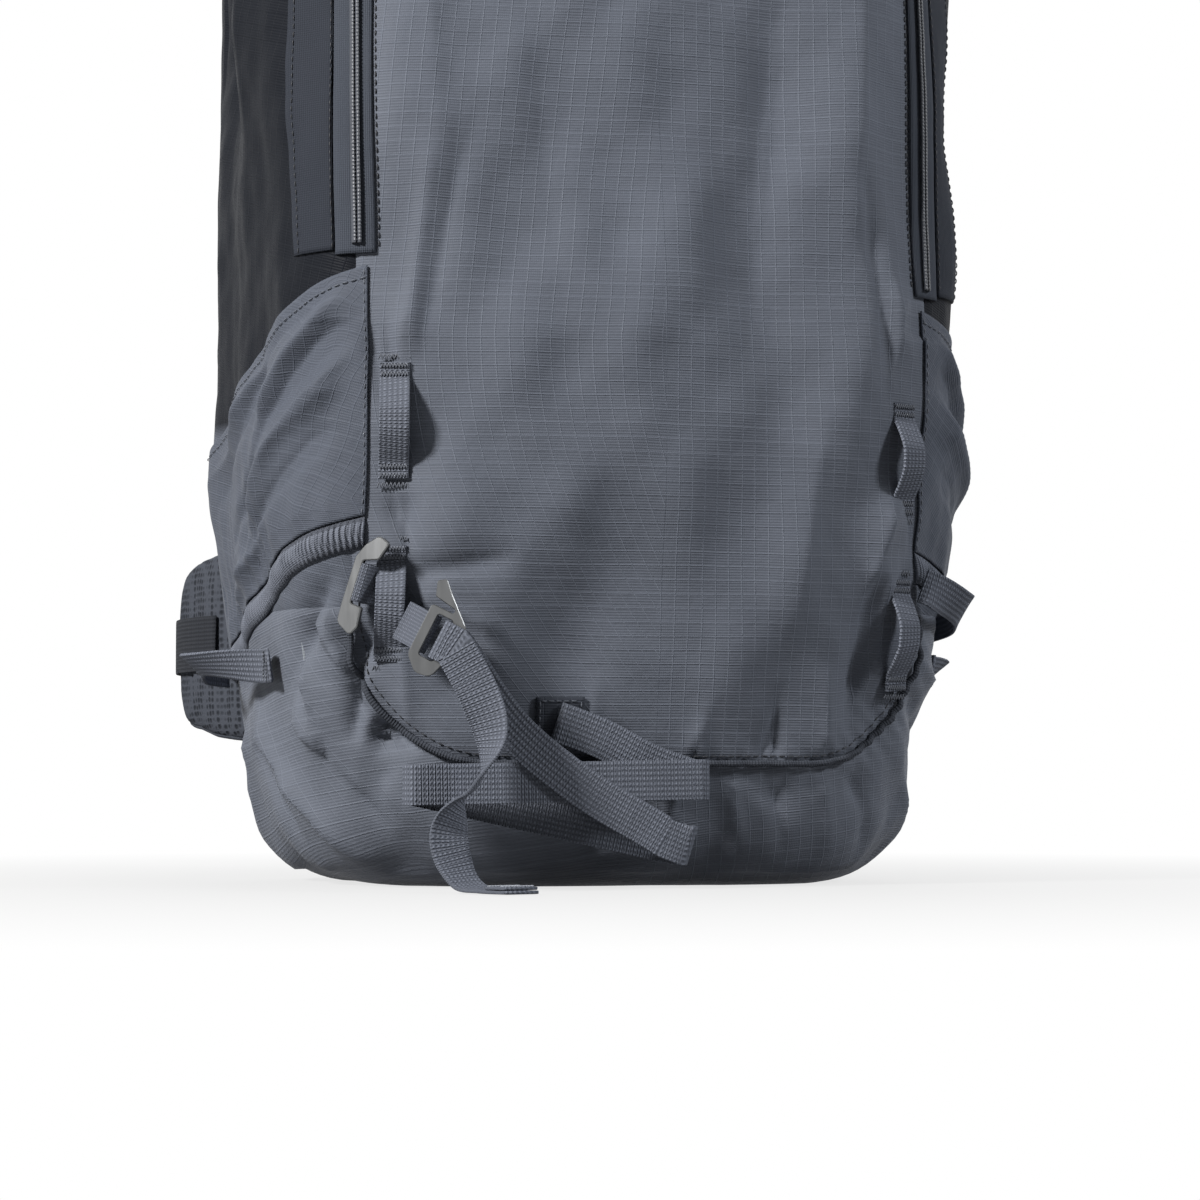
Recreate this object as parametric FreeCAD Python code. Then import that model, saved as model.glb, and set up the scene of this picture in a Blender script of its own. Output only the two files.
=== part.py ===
"""Ski backpack of about thirty litres, with a front compartment that opens with an arched zip.

Frame: millimetres, +Z up, origin at the middle of the base, which the pack stands on.  -Y is the outer
face of the pack, +Y is the side of the wearer's back, and +X is to the right when the front is looked at.

The bag is a hollow shell of padded cloth.  Its plan at any height is a superellipse, blunt at the front and
nearly square at the back, and the shell is cut into the panels that are sewn together on the real pack.
Layers sewn on top (side wings, zip tapes, piping) follow the same surface a little further out.
"""

import math
import os

import FreeCAD
import Part

V = FreeCAD.Vector

# ---------------------------------------------------------------- driving dimensions: the bag
HEIGHT = 580.0            # of the closed bag
HALF_WIDTH = 150.0        # widest half plan, from WAIST_Z upwards
FRONT_DEPTH = 110.0       # from the middle plane to the front, at WAIST_Z
FRONT_LEAN = 25.0         # how much nearer the front comes at the very top
BACK_DEPTH = 95.0         # from the middle plane to the back panel
FRONT_POWER = 3.2         # superellipse power of the front half plan
BACK_POWER = 8.0          # superellipse power of the back half plan
WAIST_Z = 220.0           # below this the bag draws in towards its base
SIDE_TUCK = 26.0          # how far the sides draw in at the base
FRONT_TUCK = 22.0         # how far the front draws in at the base
BACK_TUCK = 4.0           # how far the back draws in at the base
BASE_ROUND = 30.0         # rounding between base and walls
TOP_ROUND = 75.0          # rounding between walls and top
BACK_ROUND_SHARE = 0.35   # the back's share of those roundings
WALL = 3.0                # padded cloth

# sewn layers
GAP = 0.3                 # between layers that lie on each other
CLOTH = 1.2               # one sewn-on layer of cloth or zip tape
SEAM_GAP = 0.3            # between two panels at their seam

# ---------------------------------------------------------------- the front panel and its zip
ZIP_X = HALF_WIDTH - 29.0    # half distance between the two uprights of the arched zip
ZIP_TOP_Z = HEIGHT - 95.0
ZIP_END_Z = 229.0         # mean height of the zip's two lower ends
ZIP_CORNER = 60.0         # radius of the arch's corners
ZIP_TAPE_WIDTH = 14.0     # in plan
ZIP_COIL_WIDTH = 3.6
ZIP_COIL_HEIGHT = 1.8
PANEL_FOOT_Z = 50.0       # seam between front panel and bottom
PANEL_CORNER = 55.0       # radius of the front panel's lower corners
SIDE_FOOT_Z = 112.0       # seam between side panels and bottom
TOP_SEAM_Z = HEIGHT - 80.0
PIPING_WIDTH = 4.0
PIPING_HEIGHT = 2.6
LEFT_LIFT = 5.0           # fittings sit this much higher on the left and lower on the right

# back panel
BACK_PANEL_HALF = HALF_WIDTH - 38.0
BACK_PANEL_FOOT_Z = 40.0
BACK_PANEL_CORNER = 30.0

# ---------------------------------------------------------------- side wings
WING_FRONT_X = ZIP_X - 4.5
WING_TOP = ((-95.0, 244.0), (-20.0, 214.0), (80.0, 172.0))        # (y, z) along the upper edge
WING_FOOT = ((-110.0, 137.0), (-95.0, 133.0), (-20.0, 108.0), (80.0, 78.0))    # along the hem
HEM_WIDTH = 12.0
HEM_HEIGHT = 3.0

# ---------------------------------------------------------------- inside
DIVIDER_Y = -48.0
DIVIDER_THICKNESS = 1.5
SHEET_THICKNESS = 1.6
SHEET_HALF_WIDTH = HALF_WIDTH - 55.0
SHEET_FOOT_Z = 45.0
SHEET_TOP_Z = HEIGHT - 90.0
STAY_WIDTH = 16.0
STAY_THICKNESS = 2.5
STAY_X = 55.0

# ---------------------------------------------------------------- webbing
WEB = 1.4                 # thickness of every webbing
LOOP_X = ZIP_X - 14.0     # gear loops, two on each side
LOOP_WIDTH = 12.0
LOOP_HALF = 23.0          # half the distance over a loop's sewn ends
LOOP_TACK = 8.0           # sewn length at each end
LOOP_STAND = 9.0          # how far a loop arches off the cloth
UPPER_LOOP_Z = 180.0
LOWER_LOOP_Z = 108.0
HAUL_HALF = 27.0
HAUL_RISE = 44.0
HAUL_Z = HEIGHT - 24.0
HAUL_WIDTH = 20.0
STRAP_WIDTH = 16.0        # ski strap
SIDE_STRAP_WIDTH = 15.0
HARNESS_WIDTH = 20.0      # shoulder strap webbing
BELT_WIDTH = 25.0         # belt webbing
STERNUM_WIDTH = 15.0

# ---------------------------------------------------------------- front and top zips
SLIDER_LENGTH = 13.0
SLIDER_WIDTH = 9.0
SLIDER_TOP = 3.4          # from the middle of the coil to the slider's top
SLIDER_PLAY = 0.5
EYE_BAR_HEIGHT = 5.6      # from the middle of the coil to the slider's eye bar
EYE_BAR_R = 0.9
PULL_WIDTH = 5.0
PULL_LENGTH = 32.0
PULL_THICKNESS = 1.6
SLIDER_Z = 408.0          # where the front sliders are parked
TOP_ZIP_Y = 16.0
TOP_ZIP_HALF = 62.0
TOP_SLIDER_X = -50.0

# ---------------------------------------------------------------- ski strap
SKI_TILT = 0.285          # how far the ski's edges run to the right per millimetre up
SKI_BACK_Y = 7.4 - FRONT_DEPTH    # faces of the flat space that the strap keeps for a ski
SKI_FRONT_Y = SKI_BACK_Y - 8.8
STRAP_CLEAR = 0.4
HOOK_PLATE = 2.4          # aluminium plate of both hooks
BAR_TURN = 2.7            # inner radius of webbing round a hook's bar
TOGGLE_AT = (27.8 - HALF_WIDTH, 17.6 - FRONT_DEPTH, 121.7)
TOGGLE_OUT = (-0.67, -0.74, 0.05)
TOGGLE_LEAN = 18.0
BUCKLE_AT = (55.5 - HALF_WIDTH, -5.5 - FRONT_DEPTH, 98.6)
BUCKLE_OUT = (-0.35, -0.935, 0.0)
BUCKLE_LEAN = 27.0
BUCKLE_BAR = -5.2         # the buckle's bar, across from its middle

# ---------------------------------------------------------------- harness
PAD_THICKNESS = 14.0
BACK_PAD_WIDTH = 68.0
BACK_PAD_X = 60.0
BACK_PAD_Z = (158.0, HEIGHT - 132.0)
LUMBAR_HALF = HALF_WIDTH - 44.3
LUMBAR_Z = (58.0, 148.0)
LUMBAR_THICKNESS = 16.0
SHOULDER_WIDTH = 60.0
SHOULDER_THICKNESS = 13.0
BELT_THICKNESS = 14.0
BELT_Z = 105.0
BELT_ROOT_HEIGHT = 90.0
BELT_TIP_HEIGHT = 52.0
RAIL_X = 52.0
RAIL_Z = (HEIGHT - 200.0, HEIGHT - 140.0)
STERNUM_Z = HEIGHT - 172.0
CHEST_Y = BACK_DEPTH + 94.0      # middle of the shoulder straps' straight chest run

PARTS = {}


# ---------------------------------------------------------------- plan of the bag
def fillet_inset(height, radius):
    """How far a quarter round of that radius stands back at a height above its foot."""
    if height >= radius:
        return 0.0
    rest = radius - max(height, 0.0)
    return radius - math.sqrt(radius * radius - rest * rest)


def plan_at(z):
    """Half width, front depth and back depth of the bag's outside at height z."""
    low = max(0.0, 1.0 - z / WAIST_Z) ** 2
    high = max(0.0, z - WAIST_Z) / (HEIGHT - WAIST_Z)
    inset = fillet_inset(z, BASE_ROUND) + fillet_inset(HEIGHT - z, TOP_ROUND)
    half = HALF_WIDTH - SIDE_TUCK * low - inset
    front = FRONT_DEPTH - FRONT_LEAN * high - FRONT_TUCK * low - 0.85 * inset
    back = BACK_DEPTH - BACK_TUCK * low - BACK_ROUND_SHARE * inset
    return half, front, back


def front_y(x, z, off=0.0):
    """y of the front surface at (x, z), off millimetres outside the bag."""
    half, front, _ = plan_at(z)
    share = min(abs(x) / (half + off), 0.9999)
    return -(front + off) * (1.0 - share ** FRONT_POWER) ** (1.0 / FRONT_POWER)


def front_normal(x, z):
    """Outward unit normal of the front surface at (x, z)."""
    step = 0.5
    dx = (front_y(x + step, z) - front_y(x - step, z)) / (2 * step)
    dz = (front_y(x, z + step) - front_y(x, z - step)) / (2 * step)
    return V(dx, -1.0, dz).normalize()


def side_x(y, z, off=0.0):
    """|x| of the side surface at (y, z), off millimetres outside the bag."""
    half, front, back = plan_at(z)
    depth, power = (front, FRONT_POWER) if y < 0 else (back, BACK_POWER)
    share = min(abs(y) / (depth + off), 0.9999)
    return (half + off) * (1.0 - share ** power) ** (1.0 / power)


def plan_wire(z, off):
    """The closed plan curve at a height of the bag that is off millimetres larger all round."""
    half, front, back = plan_at(z)
    level = -off + z * (HEIGHT + 2 * off) / HEIGHT
    dense = []
    steps = 720
    for i in range(steps):
        t = 2 * math.pi * i / steps
        c, s = math.cos(t), math.sin(t)
        power = BACK_POWER if s > 0 else FRONT_POWER
        depth = back if s > 0 else front
        dense.append((math.copysign((half + off) * abs(c) ** (2 / power), c),
                      math.copysign((depth + off) * abs(s) ** (2 / power), s)))
    lengths = [0.0]
    for a, b in zip(dense, dense[1:] + dense[:1]):
        lengths.append(lengths[-1] + math.dist(a, b))
    points, k = [], 0
    count = 56
    for i in range(count):
        want = lengths[-1] * i / count
        while lengths[k + 1] < want:
            k += 1
        share = (want - lengths[k]) / max(lengths[k + 1] - lengths[k], 1e-9)
        a, b = dense[k], dense[(k + 1) % steps]
        points.append(V(a[0] + share * (b[0] - a[0]), a[1] + share * (b[1] - a[1]), level))
    curve = Part.BSplineCurve()
    curve.interpolate(Points=points, PeriodicFlag=True, Parameters=[float(i) for i in range(count + 1)])
    return Part.Wire([curve.toShape()])


def section_heights():
    """Heights of the loft's sections, closer together where the walls turn into base and top."""
    low = [BASE_ROUND * (1 - math.cos(math.radians(a))) for a in (0, 25, 50, 90)]
    low += [50.0, 80.0, 120.0, 170.0]
    straight = [WAIST_Z + (HEIGHT - TOP_ROUND - WAIST_Z) * i / 6 for i in range(7)]
    high = [HEIGHT - TOP_ROUND * (1 - math.cos(math.radians(a))) for a in (70, 50, 30, 14, 0)]
    return low + straight + high


BAGS = {}


def bag(off=0.0):
    """The solid bag, off millimetres larger all round."""
    if off not in BAGS:
        wires = [plan_wire(z, off) for z in section_heights()]
        BAGS[off] = Part.makeLoft(wires, True, False)
    return BAGS[off]


def layer(region, inner, outer):
    """The part of the space between two sizes of the bag that lies in a region."""
    return region.common(bag(outer)).cut(bag(inner))


# ---------------------------------------------------------------- shapes used more than once
def box(x0, x1, y0, y1, z0, z1):
    return Part.makeBox(x1 - x0, y1 - y0, z1 - z0, V(x0, y0, z0))


def outline_prism(half, foot, top, foot_r, top_r, y0, y1, grow=0.0):
    """A prism along Y whose outline in XZ is a rectangle with rounded lower and upper corners."""
    half, foot, top = half + grow, foot - grow, top + grow
    foot_r, top_r = max(foot_r + grow, 0.5), max(top_r + grow, 0.5)
    edges = []
    corners = [(half, foot, -1, 1, foot_r), (half, top, -1, -1, top_r),
               (-half, top, 1, -1, top_r), (-half, foot, 1, 1, foot_r)]
    ends = []
    for x, z, sx, sz, r in corners:
        centre = (x + sx * r, z + sz * r)
        on_side, on_level = (x, centre[1]), (centre[0], z)
        k = r * math.sqrt(0.5)
        mid = (centre[0] - sx * k, centre[1] - sz * k)
        ends.append((on_side, mid, on_level))
    order = [ends[0][::-1], ends[1], ends[2][::-1], ends[3]]
    for i, (a, m, b) in enumerate(order):
        pa, pm, pb = (V(q[0], y0, q[1]) for q in (a, m, b))
        edges.append(Part.Arc(pa, pm, pb).toShape())
        nxt = order[(i + 1) % 4][0]
        pn = V(nxt[0], y0, nxt[1])
        if pb.distanceToPoint(pn) > 1e-6:
            edges.append(Part.LineSegment(pb, pn).toShape())
    face = Part.Face(Part.Wire(edges))
    return face.extrude(V(0, y1 - y0, 0))


def outline_band(half, foot, top, foot_r, top_r, y0, y1, width, shift=0.0):
    """The band of that width along the same outline."""
    outer = outline_prism(half, foot, top, foot_r, top_r, y0, y1, shift + width / 2)
    inner = outline_prism(half, foot, top, foot_r, top_r, y0 - 1, y1 + 1, shift - width / 2)
    return outer.cut(inner)


def yz_prism(points, x0, x1):
    """A prism along X over a polygon of (y, z) points."""
    wire = Part.makePolygon([V(x0, y, z) for y, z in points + points[:1]])
    return Part.Face(wire).extrude(V(x1 - x0, 0, 0))


def smooth_points(points, steps=5):
    """Points of a Catmull-Rom curve through the given vectors."""
    out = []
    for i in range(len(points) - 1):
        p0 = points[max(i - 1, 0)]
        p1, p2 = points[i], points[i + 1]
        p3 = points[min(i + 2, len(points) - 1)]
        for k in range(steps):
            t = k / steps
            out.append((p1 * 2 + (p2 - p0) * t + (p0 * 2 - p1 * 5 + p2 * 4 - p3) * t ** 2
                        + (p1 * 3 - p0 - p2 * 3 + p3) * t ** 3) * 0.5)
    return out + [points[-1]]


def ribbon(line, across, width, thickness):
    """A flat strip through the given points; across is its width direction at every point."""
    wires = []
    for i, p in enumerate(line):
        along = line[min(i + 1, len(line) - 1)] - line[max(i - 1, 0)]
        along.normalize()
        w = across[i] - along * across[i].dot(along)
        w.normalize()
        n = along.cross(w)
        w, n = w * (width[i] / 2), n * (thickness / 2)
        corners = [p + w + n, p - w + n, p - w - n, p + w - n]
        wires.append(Part.makePolygon(corners + corners[:1]))
    strip = Part.makeLoft(wires, True, True)
    return strip if strip.Volume > 0 else strip.reversed()


def webbing(points, across, width, thickness=WEB, steps=4):
    """A flat strip along a smooth line through a few points.

    across is one width direction, or one for every point; width is one number, or one for every point.
    """
    points = [V(*p) for p in points]
    if not isinstance(across[0], (tuple, list)):
        across = [across] * len(points)
    if not isinstance(width, (tuple, list)):
        width = [width] * len(points)
    line = smooth_points(points, steps)
    wide = smooth_points([V(*a) for a in across], steps)
    size = [v.x for v in smooth_points([V(w, 0, 0) for w in width], steps)]
    return ribbon(line, wide, size, thickness)


def bar_loop(bar, axis, lead, length, width, radius=BAR_TURN):
    """Webbing folded round a bar, with both of its ends led away together in one direction."""
    bar, axis, lead = V(*bar), V(*axis).normalize(), V(*lead)
    lead = (lead - axis * lead.dot(axis)).normalize()
    side = axis.cross(lead)
    middle = radius + WEB / 2
    close = WEB / 2 + 0.2
    knee = min(radius + 5, 0.8 * length)
    line = [bar + lead * length + side * close, bar + lead * knee + side * close]
    steps = 12
    for i in range(steps + 1):
        a = math.pi * i / steps
        line.append(bar + side * (middle * math.cos(a)) - lead * (middle * math.sin(a)))
    line += [bar + lead * knee - side * close, bar + lead * length - side * close]
    return ribbon(line, [axis] * len(line), [width] * len(line), WEB)


def plate(outline, thickness, holes=()):
    """A flat plate in XY, centred on Z=0, from rounded polygons of (x, y, radius) corners."""
    face = Part.Face(rounded_wire(outline))
    solid = face.extrude(V(0, 0, thickness))
    for hole in holes:
        cutter = Part.Face(rounded_wire(hole)).extrude(V(0, 0, thickness + 2))
        cutter.translate(V(0, 0, -1))
        solid = solid.cut(cutter)
    solid.translate(V(0, 0, -thickness / 2))
    return solid


def rounded_wire(corners):
    """A closed wire in XY through (x, y, radius) corners, each rounded by its radius."""
    n = len(corners)
    runs = []
    for i in range(n):
        x, y, r = corners[i]
        before, after = corners[i - 1], corners[(i + 1) % n]
        p = V(x, y, 0)
        to_before = (V(before[0], before[1], 0) - p).normalize()
        to_after = (V(after[0], after[1], 0) - p).normalize()
        half = to_before.getAngle(to_after) / 2
        reach = r / math.tan(half)
        a, b = p + to_before * reach, p + to_after * reach
        middle = (to_before + to_after).normalize()
        m = p + middle * (r / math.sin(half) - r)
        runs.append((a, m, b))
    edges = []
    for i, (a, m, b) in enumerate(runs):
        edges.append(Part.Arc(a, m, b).toShape())
        edges.append(Part.LineSegment(b, runs[(i + 1) % n][0]).toShape())
    return Part.Wire(edges)


def placed(shape, origin, x_axis, z_axis):
    """The shape moved so that its own X and Z lie along the given directions at the origin."""
    z = V(z_axis).normalize()
    x = V(x_axis) - z * V(x_axis).dot(z)
    x.normalize()
    y = z.cross(x)
    matrix = FreeCAD.Matrix(x.x, y.x, z.x, origin.x, x.y, y.y, z.y, origin.y,
                            x.z, y.z, z.z, origin.z, 0, 0, 0, 1)
    copy = shape.copy()
    copy.Placement = FreeCAD.Placement(matrix).multiply(copy.Placement)
    return copy


def mirrored(shape):
    return shape.mirror(V(0, 0, 0), V(1, 0, 0))


def solids_of(shape, least=5.0):
    """The shape's solids, without slivers below that volume."""
    return [s for s in shape.Solids if s.Volume > least]


def keep(name, *shapes):
    """Files a node, made of every solid in the given shapes."""
    found = []
    for shape in shapes:
        found += solids_of(shape)
    if not found:
        raise ValueError("no solid in " + name)
    PARTS[name] = found[0] if len(found) == 1 else Part.Compound(found)


FAR = 400.0


# ---------------------------------------------------------------- the bag's panels
def make_bag():
    shell = bag(0.0).cut(bag(-WALL))
    front_cut = outline_prism(ZIP_X, PANEL_FOOT_Z, ZIP_TOP_Z, PANEL_CORNER, ZIP_CORNER, -FAR, 0)
    front_hole = outline_prism(ZIP_X, PANEL_FOOT_Z, ZIP_TOP_Z, PANEL_CORNER, ZIP_CORNER, -FAR, 0, SEAM_GAP)
    back_cut = outline_prism(BACK_PANEL_HALF, BACK_PANEL_FOOT_Z, TOP_SEAM_Z - 10, BACK_PANEL_CORNER,
                             BACK_PANEL_CORNER, 0, FAR)
    back_hole = outline_prism(BACK_PANEL_HALF, BACK_PANEL_FOOT_Z, TOP_SEAM_Z - 10, BACK_PANEL_CORNER,
                              BACK_PANEL_CORNER, 0, FAR, SEAM_GAP)
    keep("front_panel", shell.common(front_cut))
    keep("back_panel", shell.common(back_cut))
    ring = shell.cut(front_hole).cut(back_hole)
    keep("bottom_panel", ring.common(box(-FAR, FAR, -FAR, FAR, -10, SIDE_FOOT_Z)))
    keep("top_panel", ring.common(box(-FAR, FAR, -FAR, FAR, TOP_SEAM_Z, HEIGHT + 10)))
    # Between the two, the shell is one ring that is already open at the front and at the back.
    middle = ring.common(box(-FAR, FAR, -FAR, FAR, SIDE_FOOT_Z + SEAM_GAP, TOP_SEAM_Z - SEAM_GAP))
    keep("side_panel_left", middle.common(box(-FAR, -SEAM_GAP / 2, -FAR, FAR, 0, HEIGHT)))
    keep("side_panel_right", middle.common(box(SEAM_GAP / 2, FAR, -FAR, FAR, 0, HEIGHT)))


def make_zip():
    """The arched front zip: tape and coil follow the front panel's outline down to the wings."""
    def above(width, extra):
        band = outline_band(ZIP_X, PANEL_FOOT_Z, ZIP_TOP_Z, PANEL_CORNER, ZIP_CORNER, -FAR, 0, width)
        left = box(-FAR, 0, -FAR, FAR, ZIP_END_Z + LEFT_LIFT + extra, HEIGHT)
        right = box(0, FAR, -FAR, FAR, ZIP_END_Z - LEFT_LIFT + extra, HEIGHT)
        return band.common(left.fuse(right))
    # The tape stops short of the wing, whose upper edge crosses it.
    keep("zip_tape", layer(above(ZIP_TAPE_WIDTH, 18), GAP, GAP + CLOTH))
    keep("zip_coil", layer(above(ZIP_COIL_WIDTH, 22), 2 * GAP + CLOTH, 2 * GAP + CLOTH + ZIP_COIL_HEIGHT))


def make_piping():
    """The raised seam along the front panel's foot and round its lower corners."""
    band = outline_band(ZIP_X, PANEL_FOOT_Z, ZIP_TOP_Z, PANEL_CORNER, ZIP_CORNER, -FAR, 0, PIPING_WIDTH)
    low = box(-FAR, FAR, -FAR, FAR, 0, PANEL_FOOT_Z + 62)
    keep("seam_piping", layer(band.common(low), GAP, GAP + PIPING_HEIGHT))


def wing_region(top, foot, front_x):
    points = list(top) + [(y, z) for y, z in reversed(foot)]
    return yz_prism(points, -FAR, -front_x)


def shifted(line, dz):
    return [(y, z + dz) for y, z in line]


def make_wings():
    """Cloth wings over the sides, from the zip's end back to the belt, with an elastic hem below."""
    for side, lift in (("left", LEFT_LIFT), ("right", -LEFT_LIFT)):
        top = [(-FRONT_DEPTH - 10, WING_TOP[0][1] + 8)] + list(WING_TOP)
        top = shifted(top, lift)
        foot = shifted([(-FRONT_DEPTH - 10, WING_FOOT[0][1])] + list(WING_FOOT[1:]), lift)
        hem_top = shifted(foot, HEM_WIDTH)
        body = wing_region(top, shifted(hem_top, SEAM_GAP), WING_FRONT_X)
        hem = wing_region(hem_top, foot, WING_FRONT_X)
        cloth = layer(body, GAP, GAP + CLOTH)
        band = layer(hem, GAP, GAP + HEM_HEIGHT)
        if side == "right":
            cloth, band = mirrored(cloth), mirrored(band)
        keep("wing_" + side, cloth)
        keep("wing_hem_" + side, band)


def make_inside():
    room = bag(-WALL - GAP)
    slab = box(-FAR, FAR, DIVIDER_Y, DIVIDER_Y + DIVIDER_THICKNESS, 30, HEIGHT - 40)
    keep("compartment_divider", room.common(slab))
    # The frame sheet stands flat against the back panel, and the stays against the sheet.
    y = plan_at(SHEET_FOOT_Z)[2] - WALL - GAP - SHEET_THICKNESS - 0.5
    sheet = outline_prism(SHEET_HALF_WIDTH, SHEET_FOOT_Z, SHEET_TOP_Z, 20, 30, y, y + SHEET_THICKNESS)
    keep("frame_sheet", sheet)
    stays = []
    for x in (-STAY_X, STAY_X):
        stays.append(box(x - STAY_WIDTH / 2, x + STAY_WIDTH / 2, y - STAY_THICKNESS - GAP, y - GAP,
                         SHEET_FOOT_Z + 10, SHEET_TOP_Z - 15))
    keep("frame_stays", *stays)


# ---------------------------------------------------------------- zip sliders and pulls
def slider_body():
    """A slider in its own frame: X across the zip, Y along it, Z outwards, origin mid coil."""
    body = Part.makeBox(SLIDER_WIDTH, SLIDER_LENGTH, SLIDER_TOP + 2.5,
                        V(-SLIDER_WIDTH / 2, -SLIDER_LENGTH / 2, -2.5))
    body = body.makeFillet(1.5, [e for e in body.Edges if e.BoundBox.XLength + e.BoundBox.YLength < 0.1])
    ear = PULL_WIDTH / 2 + 0.4
    for side in (-1, 1):
        x = side * ear - (1.2 if side < 0 else 0)
        body = body.fuse(Part.makeBox(1.2, 4.0, EYE_BAR_HEIGHT + 1.4 - SLIDER_TOP + 0.5,
                                      V(x, -2.0, SLIDER_TOP - 0.5)))
    bar = Part.makeCylinder(EYE_BAR_R, 2 * ear + 1.0, V(-ear - 0.5, 0, EYE_BAR_HEIGHT), V(1, 0, 0))
    return body.fuse(bar).removeSplitter()


def pull_body():
    """A pull that hangs along -Y from the eye bar at the origin, with X across."""
    half = PULL_WIDTH / 2
    tab = Part.makeBox(PULL_WIDTH, PULL_LENGTH, PULL_THICKNESS, V(-half, -PULL_LENGTH, -PULL_THICKNESS / 2))
    upright = [e for e in tab.Edges if e.BoundBox.XLength + e.BoundBox.YLength < 0.1 and e.BoundBox.YMin < -9]
    tab = tab.makeFillet(2.0, upright)
    eye = Part.makeCylinder(EYE_BAR_R + 1.3, PULL_WIDTH, V(-half, 0, 0), V(1, 0, 0))
    hole = Part.makeCylinder(EYE_BAR_R + 0.4, PULL_WIDTH + 2, V(-half - 1, 0, 0), V(1, 0, 0))
    return tab.fuse(eye).cut(hole).removeSplitter()


def coil_middle(x, z):
    return V(x, front_y(x, z, 2 * GAP + CLOTH + ZIP_COIL_HEIGHT / 2), z)


def make_front_sliders():
    """The two front sliders, parked low on the arch's uprights, and their hanging pulls."""
    floor = bag(GAP + CLOTH + SLIDER_PLAY)
    band = outline_band(ZIP_X, PANEL_FOOT_Z, ZIP_TOP_Z, PANEL_CORNER, ZIP_CORNER, -FAR, 0,
                        ZIP_COIL_WIDTH + 2 * SLIDER_PLAY)
    near = box(-FAR, FAR, -FAR, FAR, SLIDER_Z - 15, SLIDER_Z + 15)
    tunnel = band.common(near).common(bag(2 * GAP + CLOTH + ZIP_COIL_HEIGHT + SLIDER_PLAY))
    middle = coil_middle(ZIP_X, SLIDER_Z)
    out = front_normal(ZIP_X, SLIDER_Z)
    travel = middle - coil_middle(ZIP_X, SLIDER_Z - 100)
    across = travel.cross(out).normalize()
    body = placed(slider_body(), middle, across, out).cut(floor).cut(tunnel)
    level = V(-out.y, out.x, 0).normalize()
    eye = middle + out * EYE_BAR_HEIGHT
    pull = placed(pull_body(), eye, level, V(0, 0, 1).cross(level) * -1)
    for side, turn in (("right", lambda s: s), ("left", mirrored)):
        keep("zip_slider_" + side, turn(body))
        keep("zip_pull_" + side, turn(pull))


def make_top_zip():
    """The zip of the top pocket, on the flat of the lid."""
    def strip(half, width, low, high):
        return box(-half, half, TOP_ZIP_Y - width / 2, TOP_ZIP_Y + width / 2, HEIGHT + low, HEIGHT + high)
    coil_low = 2 * GAP + CLOTH
    keep("top_zip_tape", strip(TOP_ZIP_HALF + 4, ZIP_TAPE_WIDTH, GAP, GAP + CLOTH))
    keep("top_zip_coil", strip(TOP_ZIP_HALF, ZIP_COIL_WIDTH, coil_low, coil_low + ZIP_COIL_HEIGHT))
    middle = V(TOP_SLIDER_X, TOP_ZIP_Y, HEIGHT + coil_low + ZIP_COIL_HEIGHT / 2)
    body = placed(slider_body(), middle, V(0, 1, 0), V(0, 0, 1))
    play = ZIP_COIL_WIDTH + 2 * SLIDER_PLAY
    body = body.cut(strip(FAR, play, coil_low - 3, coil_low + ZIP_COIL_HEIGHT + SLIDER_PLAY))
    body = body.cut(strip(FAR, 40, -5, GAP + CLOTH + SLIDER_PLAY))
    keep("top_zip_slider", body)
    drop = EYE_BAR_HEIGHT - ZIP_COIL_HEIGHT / 2 - PULL_THICKNESS / 2 - 0.5
    tilt = math.asin(drop / PULL_LENGTH)
    eye = middle + V(0, 0, EYE_BAR_HEIGHT)
    keep("top_zip_pull", placed(pull_body(), eye, V(0, 1, 0), V(math.sin(tilt), 0, math.cos(tilt))))


# ---------------------------------------------------------------- loops
def make_gear_loops():
    """Four webbing loops, each sewn down at both ends and arched between."""
    for name, x, z in (("upper_left", -LOOP_X, UPPER_LOOP_Z + LEFT_LIFT),
                       ("upper_right", LOOP_X, UPPER_LOOP_Z - LEFT_LIFT),
                       ("lower_left", -LOOP_X, LOWER_LOOP_Z + LEFT_LIFT),
                       ("lower_right", LOOP_X, LOWER_LOOP_Z - LEFT_LIFT)):
        def at(dz, off):
            out = (front_normal(x, z + dz) + V(0, -1, 0)).normalize()
            p = V(x, front_y(x, z + dz), z + dz) + out * off
            return tuple(p)
        flat = GAP + WEB / 2 + 0.45
        inner = LOOP_HALF - LOOP_TACK
        points = [at(-LOOP_HALF, flat), at(-inner - 2, flat), at(-inner + 4, LOOP_STAND * 0.62),
                  at(-inner + 10, LOOP_STAND), at(0, LOOP_STAND + 0.6), at(inner - 10, LOOP_STAND),
                  at(inner - 4, LOOP_STAND * 0.62), at(inner + 2, flat), at(LOOP_HALF, flat)]
        normal = front_normal(x, z)
        keep("gear_loop_" + name, webbing(points, (-normal.y, normal.x, 0.0), LOOP_WIDTH))


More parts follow.
